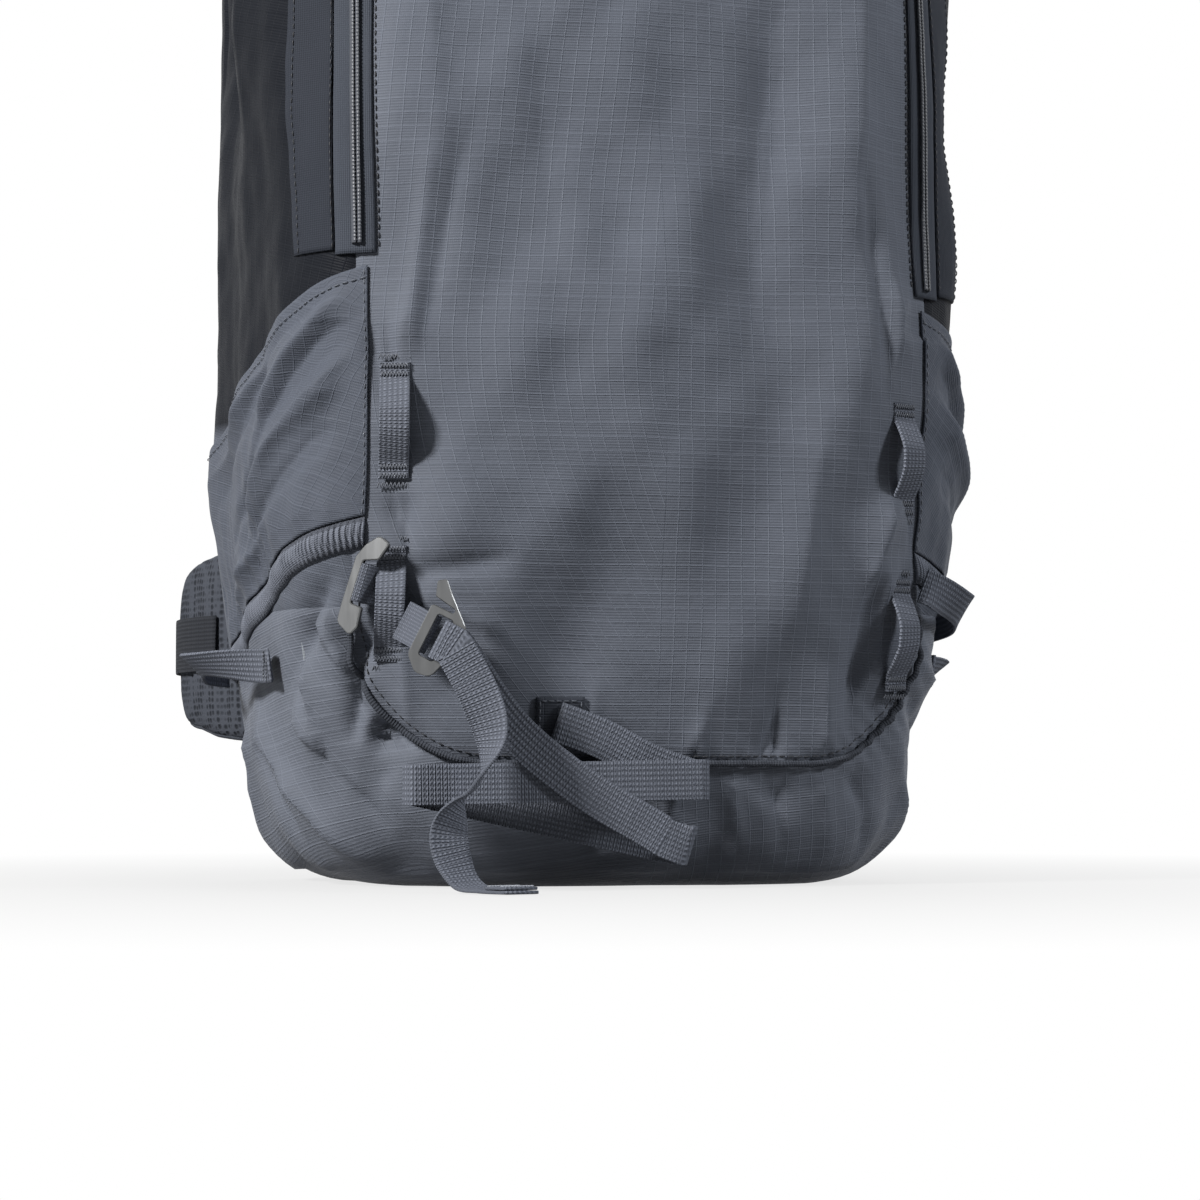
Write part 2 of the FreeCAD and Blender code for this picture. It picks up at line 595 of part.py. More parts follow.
def make_haul_loop():
    def back_y(z):
        return plan_at(z)[2] + GAP + WEB / 2 + 0.6
    y = back_y(HAUL_Z)
    points = [(-HAUL_HALF, back_y(HAUL_Z - 22), HAUL_Z - 22), (-HAUL_HALF, back_y(HAUL_Z - 11), HAUL_Z - 11),
              (-HAUL_HALF, y + 0.3, HAUL_Z), (-HAUL_HALF + 3, y + 3, HAUL_Z + HAUL_RISE * 0.55),
              (-HAUL_HALF * 0.5, y + 6, HAUL_Z + HAUL_RISE * 0.92), (0, y + 7, HAUL_Z + HAUL_RISE)]
    points += [(-x, py, z) for x, py, z in points[-2::-1]]
    tilt = (0.0, 1.0, 0.12)
    flat = (1.0, 0.0, 0.0)
    across = [flat, flat, flat, (0.5, 0.8, 0.1), (0.1, 1.0, 0.12), tilt]
    across += [(-a[0], a[1], a[2]) for a in across[-2::-1]]
    keep("haul_loop", webbing(points, across, HAUL_WIDTH))


# ---------------------------------------------------------------- ski strap and its hooks
def lean_frame(out, lean):
    """Directions across and along a plate that faces out and leans to the right."""
    out = V(*out).normalize()
    right = V(-out.y, out.x, 0).normalize()
    up = out.cross(right) * -1
    if up.z < 0:
        up = up * -1
    a = math.radians(lean)
    along = right * math.sin(a) + up * math.cos(a)
    across = right * math.cos(a) - up * math.sin(a)
    return across, along, out


def make_toggle_hook():
    """The flat hook whose two lobes hold behind a gear loop."""
    outline = [(-2.0, -9.5, 3.0), (-1.6, -17.5, 3.0), (5.6, -21.0, 2.0), (8.0, -17.0, 2.0), (7.2, -9.0, 1.4),
               (1.8, -8.8, 1.0), (1.8, 8.8, 1.0), (8.4, 11.0, 2.0), (11.0, 18.4, 1.6), (5.4, 20.0, 2.5),
               (0.6, 15.0, 6.0), (-2.0, 9.5, 4.0)]
    solid = plate(outline, HOOK_PLATE)
    solid = solid.makeChamfer(0.4, [e for e in solid.Edges if e.BoundBox.ZLength < 0.01])
    across, along, out = lean_frame(TOGGLE_OUT, TOGGLE_LEAN)
    keep("t_bar_hook", placed(solid, V(*TOGGLE_AT), across, out))
    lead = (0.86, 0.36, -0.25)
    keep("hook_webbing", bar_loop(TOGGLE_AT, tuple(along), lead, 7.4, STRAP_WIDTH))


def make_hook_buckle():
    """The flat buckle with a hook tip, held on its bar by short webbing from under the gear loop."""
    outline = [(-7.2, -10.5, 4.0), (-1.5, -15.8, 4.0), (5.0, -14.8, 4.0), (9.6, 0.0, 7.0), (9.0, 8.5, 3.5),
               (-2.0, 18.0, 5.0), (-6.4, 22.4, 1.3), (-9.6, 20.2, 1.3), (-7.4, 14.4, 1.0), (2.0, 13.0, 1.0),
               (2.0, 11.3, 0.7), (-7.4, 11.3, 1.5)]
    slot = [(-3.4, -8.9, 1.2), (3.2, -8.9, 1.4), (3.6, 8.8, 1.6), (-3.4, 8.8, 1.0)]
    solid = plate(outline, HOOK_PLATE, [slot])
    solid = solid.makeChamfer(0.3, [e for e in solid.Edges if e.BoundBox.ZLength < 0.01])
    across, along, out = lean_frame(BUCKLE_OUT, BUCKLE_LEAN)
    keep("g_hook_buckle", placed(solid, V(*BUCKLE_AT), across, out))
    bar = V(*BUCKLE_AT) + across * BUCKLE_BAR
    keep("buckle_webbing", bar_loop(tuple(bar), tuple(along), (-0.12, 0.98, 0.15), 13.5, STRAP_WIDTH))


def from_left_front(points):
    """Points given from the bag's widest left plane and its foremost plane."""
    return [(x - HALF_WIDTH, y - FRONT_DEPTH, z) for x, y, z in points]


def ski_edge(right, z):
    """x of the ski's left or right edge at a height."""
    return (15.4 if right else -101.8) + SKI_TILT * (z - 42.0)


def edge_turn(x, z, right, front, back, width_way):
    """The strap's points round a ski edge, from the front face to the back face."""
    middle, r = (front + back) / 2, (back - front) / 2
    line = []
    steps = 8
    for i in range(steps + 1):
        a = math.pi * i / steps
        reach = 4.0 * math.sin(a)
        line.append(V(x + (reach if right else -reach), middle - r * math.cos(a), z))
    return line, [V(*width_way)] * len(line)


def smooth_run(points, across, steps=4):
    """Smooth points of a strap and its width directions, without the last point."""
    line = smooth_points([V(*p) for p in points], steps)
    wide = smooth_points([V(*a) for a in across], steps)
    return line[:-1], wide[:-1]


# the free end's way down from the buckle to the floor
TAIL_RUN = [(70.5, -13.5, 77.0), (75.0, -16.0, 60.0), (71.0, -17.0, 45.0), (62.5, -16.5, 34.5),
            (58.0, -16.5, 22.0), (60.5, -18.5, 9.5), (64.5, -25.0, 2.4), (70.5, -37.0, 1.1), (77.0, -54.0, 1.1)]


def make_ski_strap():
    """One strap: sewn to the front, twice round the ski, up to the buckle, and its free end.

    The level turn lies on the ski, and the slanting turn crosses over it.
    """
    near_y = SKI_FRONT_Y - STRAP_CLEAR - WEB / 2
    over_y = near_y - WEB - STRAP_CLEAR
    back_y = SKI_BACK_Y + STRAP_CLEAR + WEB / 2
    up = (0.0, 0.0, 1.0)
    right_x, left_x, low_x = ski_edge(True, 43.5) - 1, ski_edge(False, 41.5) + 1, ski_edge(True, 17.4) - 1
    parts = [smooth_run([(-42.0, back_y - 0.6, 66.5), (-24.0, back_y - 0.3, 60.0), (-4.0, back_y, 50.0),
                         (right_x, back_y, 43.5)], [(0.35, 0, 0.94), (0.42, 0, 0.9), (0.4, 0, 0.92), up])]
    turn, wide = edge_turn(right_x, 43.5, True, near_y, back_y, up)
    parts.append((turn[::-1], wide))
    turn, wide = edge_turn(left_x, 41.5, False, near_y, back_y, up)
    parts.append((turn, wide))
    turn, wide = edge_turn(low_x, 17.4, True, over_y, back_y, (0.3, 0.0, 0.95))
    parts.append((turn[::-1], wide))
    across, along, out = lean_frame(BUCKLE_OUT, BUCKLE_LEAN)
    at = V(*BUCKLE_AT)
    lift = HOOK_PLATE / 2 + WEB / 2 + 0.6
    slot = 2.7
    behind = at + across * (slot + 6.0) - out * (lift + 0.3)
    parts.append(smooth_run([(low_x - 8, over_y, 20.5), (-9.0, over_y, 25.5), (-27.0, over_y, 35.5),
                             (-42.0, over_y, 45.6), (-57.0, over_y + 0.8, 57.5), (-69.0, near_y - 0.4, 70.5),
                             tuple(behind)],
                            [(0.45, 0.0, 0.89), (0.5, 0.0, 0.87), (0.52, 0.0, 0.85), (0.58, 0.0, 0.8),
                             (0.66, 0.0, 0.75), (0.62, 0.0, 0.78), tuple(along)]))
    steps = 8
    fold = [behind]
    for i in range(steps + 1):
        a = math.pi * i / steps
        fold.append(at + across * (slot - 1.6 * math.sin(a)) - out * (lift * math.cos(a)))
    half = len(fold) // 2 + 1
    parts.append((fold[:half], [along] * half))
    line = [p for part in parts for p in part[0]]
    wide = [w for part in parts for w in part[1]]
    keep("ski_loop_webbing", ribbon(line, wide, [STRAP_WIDTH] * len(line), WEB))
    over = at + across * (slot + 5.5) + out * lift
    tail, tail_wide = smooth_run(
        [tuple(over)] + from_left_front(TAIL_RUN),
        [tuple(along), (0.75, -0.2, 0.6), (0.55, -0.75, 0.35), (-0.1, -0.95, 0.3), (-0.65, -0.55, -0.5),
         (-0.97, -0.2, -0.1), (-0.95, -0.2, 0.2), (-0.93, -0.36, 0.0), (-0.93, -0.36, 0.0),
         (-0.93, -0.36, 0.0)], 5)
    fold[half - 1] += (fold[half] - fold[half - 1]) * 0.4
    line = fold[half - 1:] + tail
    wide = [along] * (len(fold) - half + 1) + tail_wide
    keep("ski_strap_tail", ribbon(line, wide, [STRAP_WIDTH] * len(line), WEB))
    keep("ski_strap_anchor", layer(box(-50, -30, -FAR, 0, 58, 76), GAP, GAP + CLOTH))


# ---------------------------------------------------------------- side straps
def make_side_straps():
    """Webbing over the sides: a twisted one from the right front seam, and a slack one low on each side."""
    x = LOOP_X + LOOP_WIDTH / 2 + 2.5
    start = V(x, front_y(x, 124), 124) + front_normal(x, 124) * 4.8
    points = [tuple(start)] + [(HALF_WIDTH + px, py, pz) for px, py, pz in [
        (-25.5, -89.5, 121.0), (-12.0, -78.0, 116.5), (-1.0, -58.0, 114.5), (4.0, -30.0, 112.5),
        (3.0, 0.0, 110.0), (1.0, 28.0, 108.0)]]
    across = [(0.25, 0.1, 0.96), (0.6, 0.2, 0.75), (0.75, -0.1, 0.6), (0.5, -0.1, 0.85), (0.1, 0.0, 1.0),
              (0, 0, 1), (0, 0, 1)]
    keep("side_strap_right", webbing(points, across, SIDE_STRAP_WIDTH, WEB, 5))
    z = 90.0
    low, high = -34.0, 70.0
    foot, head = side_x(low, z), side_x(high, z)
    points = [(foot + 5.0, low, z), (foot + 5.6, low + 14, z), (foot + 18.0, low + 32, z + 1.0),
              (foot + 27.0, low + 54, z + 1.5), (foot + 20.0, low + 78, z + 1.0), (head + 8.6, high - 14, z),
              (head + 5.6, high - 5, z), (head + 5.2, high + 3, z)]
    upright = (0.15, 0.0, 0.99)
    across = [upright, upright, (0.5, -0.3, 0.8), (0.75, -0.3, 0.6), (0.5, -0.3, 0.8), upright, upright, upright]
    strap = webbing(points, across, 14.0, WEB, 5)
    keep("compression_straps", strap, mirrored(strap))


# ---------------------------------------------------------------- harness
def both_sides(name, make, turn_name=("left", "right")):
    """Files a right-hand shape and its mirror image."""
    shape = make()
    keep(name + "_" + turn_name[1], shape)
    keep(name + "_" + turn_name[0], mirrored(shape))


def make_back_pads():
    _, _, back = plan_at(WAIST_Z)
    y0, y1 = back + GAP, back + GAP + PAD_THICKNESS

    def pad():
        x0, x1 = BACK_PAD_X - BACK_PAD_WIDTH / 2, BACK_PAD_X + BACK_PAD_WIDTH / 2
        solid = box(x0, x1, y0, y1, BACK_PAD_Z[0], BACK_PAD_Z[1])
        solid = solid.makeFillet(16, [e for e in solid.Edges if e.BoundBox.YLength > PAD_THICKNESS - 0.1])
        return solid.makeFillet(5, [e for e in solid.Edges if e.BoundBox.YMin > y1 - 0.1])
    both_sides("back_pad", pad)
    y0 = back + GAP
    lumbar = box(-LUMBAR_HALF, LUMBAR_HALF, y0, y0 + LUMBAR_THICKNESS, LUMBAR_Z[0], LUMBAR_Z[1])
    lumbar = lumbar.makeFillet(18, [e for e in lumbar.Edges if e.BoundBox.YLength > LUMBAR_THICKNESS - 0.1])
    lumbar = lumbar.makeFillet(2.5, [e for e in lumbar.Edges if e.BoundBox.YMin > y0 + LUMBAR_THICKNESS - 0.1])
    keep("lumbar_pad", lumbar)


# x, distance behind the back panel and distance from the top
SHOULDER_RUN = [(56.0, 8.2, -118.0), (56.0, 12.0, -94.0), (58.0, 29.0, -74.0), (62.0, 55.0, -73.0),
                (67.0, 79.0, -89.0), (71.0, 91.0, -113.0), (72.0, 94.0, -134.0), (72.0, 94.0, -170.0),
                (72.0, 94.0, -204.0), (72.6, 93.4, -228.0), (76.0, 87.0, -255.0), (84.0, 75.0, -285.0),
                (91.0, 60.0, -310.0)]
SHOULDER_PATH = [(x, BACK_DEPTH + y, HEIGHT + z) for x, y, z in SHOULDER_RUN]


def make_shoulder_straps():
    widths = [50.0, 54.0, 58.0] + [SHOULDER_WIDTH] * 7 + [56.0, 48.0, 36.0]
    both_sides("shoulder_strap", lambda: webbing(SHOULDER_PATH, (1.0, 0.0, 0.0), widths,
                                                 SHOULDER_THICKNESS, 4))


def ladder_lock():
    """A plastic adjuster with two slots, flat in XY, its bars along X."""
    outline = [(-14, -11, 3), (14, -11, 3), (14, 11, 3), (-14, 11, 3)]
    slots = [[(-10.8, -8, 1), (10.8, -8, 1), (10.8, -1.6, 1), (-10.8, -1.6, 1)],
             [(-10.8, 1.6, 1), (10.8, 1.6, 1), (10.8, 8, 1), (-10.8, 8, 1)]]
    return plate(outline, 3.0, slots)


def make_strap_adjusters():
    """At the foot of each shoulder strap: an adjuster, and webbing from the bag's lower corner."""
    def frame():
        end, before = V(*SHOULDER_PATH[-1]), V(*SHOULDER_PATH[-2])
        along = (end - before).normalize()
        across = V(1, 0, 0) - along * along.x
        across.normalize()
        return end, along, across, across.cross(along)
    end, along, across, out = frame()
    at = end + along * 17.0
    lock = placed(ladder_lock(), at, across, out)
    keep("strap_adjusters", lock, mirrored(lock))
    bar = at - along * 9.5
    tab = bar_loop(tuple(bar), tuple(across), tuple(-along), 7.0, HARNESS_WIDTH, 2.3)
    keep("adjuster_tabs", tab, mirrored(tab))
    low = at + along * 9.5
    anchor_z = 172.0
    x = HALF_WIDTH - 19.0
    _, _, back = plan_at(anchor_z)
    y = back * (1 - (x / HALF_WIDTH) ** BACK_POWER) ** (1 / BACK_POWER) + GAP + WEB / 2
    points = [tuple(at + along * 1.2 - out * 2.7), tuple(low - out * 2.9), tuple(low + along * 14 - out * 3.2),
              (x - 18.0, BACK_DEPTH + 27.0, 212.0), (x - 7.0, BACK_DEPTH + 12.0, 188.0), (x - 1, y + 2.6, anchor_z),
              (x, y + 0.4, 160.0), (x, y + 0.1, 150.0)]
    wide = [tuple(across)] * 3 + [(0.92, 0.3, 0.25), (0.92, 0.2, 0.3), (0.93, -0.33, 0.1), (0.92, -0.38, 0.0),
                                 (0.92, -0.38, 0.0)]
    both_sides("lower_webbing", lambda: webbing(points, wide, HARNESS_WIDTH, WEB, 4))


def make_load_lifters():
    """Tight webbing from the top of the bag to each shoulder strap, with its adjuster on the strap."""
    _, _, back = plan_at(HEIGHT - 28.0)
    start, finish = V(58.0, back + 1.6, HEIGHT - 27.0), V(64.5, BACK_DEPTH + 77.0, HEIGHT - 74.4)
    along = (finish - start).normalize()
    across = V(1, 0, 0) - along * along.x
    across.normalize()
    out = across.cross(along)
    if out.z < 0:
        out = out * -1
    foot = V(58.0, plan_at(HEIGHT - 44.0)[2] + 1.6, HEIGHT - 44.0)
    line = [foot, (foot + start) / 2 + V(0, 0.5, 0), start, start + along * 12, start + along * 45,
            finish - along * 8]
    points = [tuple(p) for p in line]
    strip = webbing(points, tuple(across), 15.0, WEB, 3)
    keep("load_lifters", strip, mirrored(strip))
    lock = plate([(-11, -8, 2), (11, -8, 2), (11, 8, 2), (-11, 8, 2)], 3.0,
                 [[(-8, -5.4, 0.8), (8, -5.4, 0.8), (8, -1.2, 0.8), (-8, -1.2, 0.8)],
                  [(-8, 1.2, 0.8), (8, 1.2, 0.8), (8, 5.4, 0.8), (-8, 5.4, 0.8)]])
    lock = placed(lock, finish + along * 0.5, across, out)
    keep("lifter_adjusters", lock, mirrored(lock))


# distance out from the lumbar pad's edge and behind the back panel
BELT_RUN = [(4.8, 9.6), (15.3, 19.0), (25.3, 36.0), (31.3, 60.0), (32.3, 90.0), (25.3, 122.0), (10.3, 149.0)]
BELT_PATH = [(LUMBAR_HALF + x, BACK_DEPTH + y) for x, y in BELT_RUN]


def make_hip_belt():
    """Each wing turns on the seam at the edge of the lumbar pad; webbing and a buckle half lead on."""
    heights = [BELT_ROOT_HEIGHT, BELT_ROOT_HEIGHT, 86.0, 80.0, 72.0, 62.0, BELT_TIP_HEIGHT]
    points = [(x, y, BELT_Z) for x, y in BELT_PATH]
    both_sides("hip_wing", lambda: webbing(points, (0, 0, 1), heights, BELT_THICKNESS, 4))
    off = BELT_THICKNESS / 2 + GAP + WEB / 2 + 0.1
    outer = []
    for i in range(2, len(BELT_PATH)):
        a, b = BELT_PATH[i - 1], BELT_PATH[min(i + 1, len(BELT_PATH) - 1)]
        t = V(b[0] - a[0], b[1] - a[1], 0).normalize()
        outer.append((BELT_PATH[i][0] + t.y * off, BELT_PATH[i][1] - t.x * off, BELT_Z))
    belt_y = BACK_DEPTH + 197.5
    free = [(LUMBAR_HALF + 5.3, belt_y - 24.5, BELT_Z), (93.0, belt_y - 7.5, BELT_Z),
            (74.0, belt_y - 1.5, BELT_Z), (62.0, belt_y, BELT_Z)]
    both_sides("belt_webbing", lambda: webbing(outer + free, (0, 0, 1), BELT_WIDTH, WEB, 4))
    keep("buckle_female", female_half(BELT_WIDTH, V(59.0, belt_y, BELT_Z)))
    keep("buckle_male", male_half(BELT_WIDTH, V(-59.0, belt_y, BELT_Z)))


def female_half(width, at):
    """Socket of a side-release buckle; its bar is at the given point and its mouth faces -X."""
    half, length, thick = width / 2 + 4.5, width * 1.35, width * 0.34
    solid = box(-length - 7, 2.5, -thick / 2, thick / 2, -half, half)
    solid = solid.makeFillet(3.0, [e for e in solid.Edges if e.BoundBox.YLength > thick - 0.1])
    mouth = box(-length - 8, -8.5, -thick / 2 + 1.6, thick / 2 - 1.6, -half + 3.0, half - 3.0)
    window = box(-length + 1, -14, -thick, thick, half - 4, half + 2)
    slot = box(-5.5, -1.5, -thick, thick, -width / 2 - 0.6, width / 2 + 0.6)
    solid = solid.cut(mouth).cut(window).cut(window.mirror(V(0, 0, 0), V(0, 0, 1))).cut(slot)
    solid.translate(at)
    return solid


def male_half(width, at):
    """Plug of a side-release buckle: a bar, a body, a middle tongue and two side prongs towards +X."""
    half, thick = width / 2 + 4.5, width * 0.34
    inner = half - 3.5
    body = box(-2.5, 11, -thick / 2, thick / 2, -half, half)
    body = body.makeFillet(3.0, [e for e in body.Edges if e.BoundBox.YLength > thick - 0.1])
    body = body.cut(box(1.5, 5.5, -thick, thick, -width / 2 - 0.6, width / 2 + 0.6))
    reach = width * 1.0
    core = thick / 2 - 2.0
    tongue = box(10, 10 + reach, -core, core, -width * 0.12, width * 0.12)
    shape = body.fuse(tongue)
    for side in (-1, 1):
        prong = yz_prism([(-core, side * (inner - 3.2)), (core, side * (inner - 3.2)), (core, side * inner),
                          (-core, side * inner)], 10, 10 + reach * 0.92)
        shape = shape.fuse(prong)
    shape = shape.removeSplitter()
    shape.translate(at)
    return shape


def make_sternum_strap():
    """Webbing across the chest that clips to a rail on each shoulder strap and slides up and down."""
    face = CHEST_Y + SHOULDER_THICKNESS / 2 + GAP + 0.2
    rail = box(RAIL_X - 3.0, RAIL_X + 3.0, face, face + 1.2, RAIL_Z[0], RAIL_Z[1])
    bead = Part.makeCylinder(2.2, RAIL_Z[1] - RAIL_Z[0] - 8, V(RAIL_X, face + 2.6, RAIL_Z[0] + 4))
    rail = rail.fuse(bead).removeSplitter()
    keep("sternum_rails", rail, mirrored(rail))
    bead_y = face + 2.6
    clip = box(RAIL_X - 5.5, RAIL_X + 5.5, face + 1.6, face + 7.6, STERNUM_Z - 9, STERNUM_Z + 9)
    clip = clip.makeFillet(1.2, [e for e in clip.Edges if e.BoundBox.ZLength > 17.9])
    clip = clip.cut(Part.makeCylinder(2.6, 40, V(RAIL_X, bead_y, STERNUM_Z - 20)))
    clip = clip.cut(box(RAIL_X - 1.9, RAIL_X + 1.9, face, bead_y, STERNUM_Z - 20, STERNUM_Z + 20))
    keep("sternum_sliders", clip, mirrored(clip))
    y = face + 7.6 + GAP + WEB / 2
    back = 21.5
    right = webbing([(RAIL_X + 5, y, STERNUM_Z), (RAIL_X - 8, y, STERNUM_Z), (RAIL_X - 18, y + 1.2, STERNUM_Z),
                     (back + 3.2, y + 1.2, STERNUM_Z)], (0, 0, 1), STERNUM_WIDTH, WEB, 4)
    keep("sternum_webbing", right, mirrored(right))
    centre = V(back, y + 1.2, STERNUM_Z)
    keep("sternum_buckle_female", female_half(STERNUM_WIDTH, centre))
    keep("sternum_buckle_male", male_half(STERNUM_WIDTH, V(-back, y + 1.2, STERNUM_Z)))


def main():
    """Models every sub-part and writes one STEP file for each."""
    os.makedirs("parts", exist_ok=True)
    for job in (make_bag, make_zip, make_piping, make_wings, make_inside, make_front_sliders, make_top_zip,
                make_gear_loops, make_haul_loop, make_toggle_hook, make_hook_buckle, make_ski_strap,
                make_side_straps, make_back_pads, make_shoulder_straps, make_strap_adjusters,
                make_load_lifters, make_hip_belt, make_sternum_strap):
        job()
    for name, shape in PARTS.items():
        shape.exportStep("parts/" + name + ".step")
        print(name, shape.isValid(), len(shape.Solids), round(shape.Volume / 1000, 2))


if __name__ == "__main__":
    main()
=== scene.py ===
"""Looks of the ski backpack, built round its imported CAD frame.

Lengths in the modelling code are millimetres in the CAD frame (+Z up, -Y the outer face); make() turns
them into metres.  The bag's surface follows the same plan formula as the CAD source.
"""

import math

import bpy
import numpy as np
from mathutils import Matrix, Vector


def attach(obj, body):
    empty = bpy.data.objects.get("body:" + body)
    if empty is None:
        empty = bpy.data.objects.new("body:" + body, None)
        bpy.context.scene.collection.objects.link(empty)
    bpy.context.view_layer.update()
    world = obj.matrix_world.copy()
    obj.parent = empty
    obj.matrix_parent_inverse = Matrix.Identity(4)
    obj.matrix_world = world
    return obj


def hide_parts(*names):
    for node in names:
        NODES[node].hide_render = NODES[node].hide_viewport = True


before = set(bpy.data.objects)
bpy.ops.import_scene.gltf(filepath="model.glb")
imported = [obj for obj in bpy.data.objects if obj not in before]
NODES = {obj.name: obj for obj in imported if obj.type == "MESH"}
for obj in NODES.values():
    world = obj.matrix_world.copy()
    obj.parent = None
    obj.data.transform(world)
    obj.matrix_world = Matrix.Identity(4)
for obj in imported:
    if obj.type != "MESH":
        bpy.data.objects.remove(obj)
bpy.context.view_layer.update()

# ---------------------------------------------------------------- the bag's surface
HEIGHT, HALF_WIDTH, FRONT_DEPTH, FRONT_LEAN, BACK_DEPTH = 580.0, 150.0, 110.0, 25.0, 95.0
FRONT_POWER, BACK_POWER, WAIST_Z = 3.2, 8.0, 220.0
SIDE_TUCK, FRONT_TUCK, BACK_TUCK = 26.0, 22.0, 4.0
BASE_ROUND, TOP_ROUND, BACK_SHARE = 30.0, 75.0, 0.35
GAP, WEB = 0.3, 1.4
ZIP_X, PANEL_FOOT, ZIP_TOP, PANEL_R, ZIP_R = 121.0, 50.0, 485.0, 55.0, 60.0
SIDE_FOOT, TOP_SEAM, LIFT = 112.0, 500.0, 5.0


def fillet_inset(h, r):
    rest = np.clip(r - np.maximum(h, 0.0), 0.0, r)
    return r - np.sqrt(r * r - rest * rest)


def plan_at(z):
    z = np.asarray(z, float)
    low = np.clip(1 - z / WAIST_Z, 0, None) ** 2
    high = np.clip(z - WAIST_Z, 0, None) / (HEIGHT - WAIST_Z)
    inset = fillet_inset(z, BASE_ROUND) + fillet_inset(HEIGHT - z, TOP_ROUND)
    return (HALF_WIDTH - SIDE_TUCK * low - inset, FRONT_DEPTH - FRONT_LEAN * high - FRONT_TUCK * low
            - 0.85 * inset, BACK_DEPTH - BACK_TUCK * low - BACK_SHARE * inset)


def front_y(x, z, off=0.0):
    half, front, _ = plan_at(z)
    share = np.minimum(np.abs(x) / (half + off), 0.9999)
    return -(front + off) * (1 - share ** FRONT_POWER) ** (1 / FRONT_POWER)


def side_x(y, z, off=0.0):
    half, front, back = plan_at(z)
    y = np.asarray(y, float)
    depth = np.where(y < 0, front, back)
    power = np.where(y < 0, FRONT_POWER, BACK_POWER)
    share = np.minimum(np.abs(y) / (depth + off), 0.9999)
    return (half + off) * (1 - share ** power) ** (1 / power)


def bag_level(p):
    half, front, back = plan_at(np.clip(p[:, 2], 0.2, HEIGHT - 0.2))
    depth = np.where(p[:, 1] < 0, front, back)
    power = np.where(p[:, 1] < 0, FRONT_POWER, BACK_POWER)
    return ((np.abs(p[:, 0]) / half) ** power + (np.abs(p[:, 1]) / depth) ** power) ** (1 / power)


def outward(p):
    """Outward unit normals of the bag's surface at the points."""
    grad = np.stack([bag_level(p + d) - bag_level(p - d) for d in np.eye(3) * 0.6], 1)
    grad[p[:, 2] > HEIGHT - 0.3] = (0, 0, 1)
    grad[p[:, 2] < 0.3] = (0, 0, -1)
    return grad / np.maximum(np.linalg.norm(grad, axis=1, keepdims=True), 1e-9)


def ripple(p, size, seed, count=9):
    """Smooth seeded unevenness between about -1 and 1."""
    rng = np.random.default_rng(seed)
    k = rng.normal(size=(count, 3)) * 2 * math.pi / size / 1.7
    return np.sin(p @ k.T + rng.uniform(0, 2 * math.pi, count)).mean(1) * 2.0


def outline_distance(x, z, half=ZIP_X, foot=PANEL_FOOT, top=ZIP_TOP, foot_r=PANEL_R, top_r=ZIP_R):
    """Signed distance to a rounded outline in XZ, negative inside."""
    r = np.where(z < (foot + top) / 2, foot_r, top_r)
    qx = np.abs(x) - half + r
    qz = np.abs(z - (foot + top) / 2) - (top - foot) / 2 + r
    return np.minimum(np.maximum(qx, qz), 0) + np.hypot(np.maximum(qx, 0), np.maximum(qz, 0)) - r


